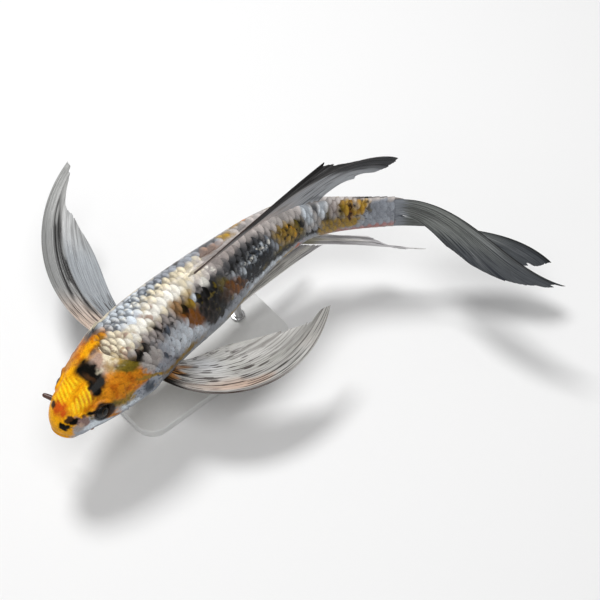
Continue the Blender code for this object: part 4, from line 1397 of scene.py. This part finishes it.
def skin_finish():
    """Wet, slimy skin: the pigment with fine speckle, small pits and a clear coat."""
    n = Nodes("koi_skin")
    speckle, cloud = n.noise(900, 4, roughness=0.6), n.noise(160, 3)
    pits = n.add("TexVoronoi", {"Vector": n.here(), "Scale": 700}).outputs["Distance"]
    return n.finish(
        base_color=n.pigment(n.spread(speckle, 0.80, 1.16), n.spread(cloud, 0.90, 1.08)),
        roughness=n.spread(speckle, 0.30, 0.46),
        normal=n.bump(cloud, 0.0006, n.bump(pits, 0.00010)),
        coat_weight=0.12,
        coat_roughness=0.08,
        specular_ior_level=0.05,
    )


def soft_skin_finish():
    n = Nodes("barbel_skin")
    speckle = n.noise(1200, 3)
    return n.finish(
        base_color=n.pigment(n.spread(speckle, 0.75, 1.2)),
        roughness=0.38,
        normal=n.bump(speckle, 0.0003),
        coat_weight=0.5,
        coat_roughness=0.12,
    )


def scale_finish():
    """Horn-like plates under a wet coat, with growth rings and grooves that fan out from each root."""
    n = Nodes("koi_scales")
    before, wide, _ = n.place()
    far = n.math("SUBTRACT", 9.0, before)
    reach = n.math("SQRT", n.math("ADD", n.math("MULTIPLY", far, far), n.math("MULTIPLY", wide, wide)))
    fine = n.noise(1100, 3)
    rings = n.math("SINE", n.math("ADD", n.math("MULTIPLY", reach, 13.0), n.math("MULTIPLY", fine, 3.0)))
    grooves = n.math("SINE", n.math("MULTIPLY", n.math("ARCTAN2", wide, far), 44.0))
    height = n.math("ADD", n.math("MULTIPLY", rings, 0.35), n.math("MULTIPLY", grooves, 0.45))
    return n.finish(
        base_color=n.pigment(n.spread(fine, 0.86, 1.12), n.remap(grooves, -1, 1, 0.95, 1.03)),
        roughness=n.spread(fine, 0.24, 0.40),
        normal=n.bump(height, 0.00006, n.bump(fine, 0.00020)),
        coat_weight=0.13,
        coat_roughness=0.07,
        specular_ior_level=0.08,
    )


def fin_finish():
    """Thin web over bony rays: jointed rays, fine lengthwise grain and a wet coat."""
    n = Nodes("koi_fins")
    _, _, from_root = n.place()
    joints = n.remap(n.math("SINE", n.math("MULTIPLY", from_root, 5.2)), 0.75, 1.0, 0.0, -1.0)
    fine = n.noise(1.0, 4, n.stretched(n.attribute("place", "Vector"), (6.0, 4.0, 0.12)))
    return n.finish(
        base_color=n.pigment(n.spread(fine, 0.84, 1.14)),
        roughness=n.spread(fine, 0.30, 0.50),
        normal=n.bump(fine, 0.00025, n.bump(joints, 0.00008)),
        coat_weight=0.10,
        coat_roughness=0.15,
        specular_ior_level=0.12,
    )


def eye_finish():
    n = Nodes("koi_eye")
    return n.finish(
        base_color=n.pigment(n.spread(n.noise(1600, 4), 0.7, 1.25)),
        roughness=0.30,
        coat_weight=0.30,
        coat_roughness=0.04,
        specular_ior_level=0.15,
    )


def plate_finish():
    """Satin white stand plate with a faint orange-peel surface."""
    n = Nodes("stand_plate_satin")
    cloud = n.noise(260, 3)
    return n.finish(
        base_color=n.blend(cloud, (0.74, 0.74, 0.73, 1), (0.80, 0.80, 0.79, 1)),
        roughness=n.spread(cloud, 0.32, 0.42),
        normal=n.bump(n.noise(1500, 1), 0.00004),
    )


def steel_finish():
    """Steel brushed round the rod."""
    n = Nodes("stand_steel_brushed")
    lines = n.noise(1.0, 2, n.stretched(n.here(), (90, 90, 6000)))
    return n.finish(
        base_color=n.blend(lines, (0.52, 0.52, 0.53, 1), (0.68, 0.68, 0.68, 1)),
        roughness=n.spread(lines, 0.22, 0.38),
        normal=n.bump(lines, 0.00003),
        metallic=1.0,
    )


# Studio

CAMERA_FROM, CAMERA_ABOVE = -41, 55  # degrees round from looking along +Y, and over the horizon
CAMERA_AWAY, FRAME_WIDE = 1.3, 0.456  # metres from the aim, and across the frame there
AIM_SHIFT = Vector((8.7, -48.5, -4)) * MM  # from the middle of the CAD's box
# name, azimuth and elevation in degrees, metres away, metres across, watts
LIGHTS = (("key", 174, 62, 1.7, 0.50, 19), ("fill", -35, 72, 2.0, 1.2, 13), ("side", -70, 40, 2.2, 1.4, 4))
FLOOR_REACH, FLOOR_GREY, SKY_STRENGTH = 15, (0.88, 0.88, 0.88, 1), 0.24


def point_at(aim, data, azimuth, elevation, away):
    """Adds a camera or lamp that looks at the aim; azimuth 0 looks along +Y."""
    a, e = math.radians(azimuth), math.radians(elevation)
    back = Vector((math.sin(a) * math.cos(e), -math.cos(a) * math.cos(e), math.sin(e)))
    seen = bpy.data.objects.new(data.name, data)
    seen.location = aim + back * away
    seen.rotation_euler = (-back).to_track_quat("-Z", "Y").to_euler()
    bpy.context.scene.collection.objects.link(seen)
    return seen


def add_camera(aim):
    data = bpy.data.cameras.new("camera")
    data.sensor_width = 36
    data.lens = data.sensor_width * CAMERA_AWAY / FRAME_WIDE
    data.clip_start, data.clip_end = 0.05, 40
    bpy.context.scene.camera = point_at(aim, data, CAMERA_FROM, CAMERA_ABOVE, CAMERA_AWAY)


def add_lights(aim):
    for name, azimuth, elevation, away, size, watts in LIGHTS:
        data = bpy.data.lights.new(name, "AREA")
        data.shape, data.size, data.energy = "DISK", size, watts
        point_at(aim, data, azimuth, elevation, away)


def add_floor():
    corners = [(x * FLOOR_REACH, y * FLOOR_REACH, 0) for x, y in ((-1, -1), (1, -1), (1, 1), (-1, 1))]
    mesh = bpy.data.meshes.new("floor")
    mesh.from_pydata(corners, [], [(0, 1, 2, 3)])
    finish = Nodes("floor").finish(base_color=FLOOR_GREY, roughness=0.9, specular_ior_level=0.1)
    mesh.materials.append(finish)
    floor = bpy.data.objects.new("floor", mesh)
    bpy.context.scene.collection.objects.link(floor)


def build_studio():
    aim = (CAD_BOX[0] + CAD_BOX[1]) / 2 + AIM_SHIFT
    add_camera(aim)
    add_lights(aim)
    add_floor()
    world = bpy.data.worlds.new("studio")
    world.use_nodes = True
    sky = world.node_tree.nodes["Background"].inputs
    sky["Color"].default_value, sky["Strength"].default_value = (1, 1, 1, 1), SKY_STRENGTH
    bpy.context.scene.world = world
    bpy.context.scene.view_settings.view_transform = "Standard"


SKIN, SOFT_SKIN, SCALE, FIN = skin_finish(), soft_skin_finish(), scale_finish(), fin_finish()
EYE, PLATE, STEEL = eye_finish(), plate_finish(), steel_finish()
build_studio()
build_skin()
build_scales()
build_fins()
build_eyes()
build_barbels()
build_base()
build_rods()
bpy.context.view_layer.update()
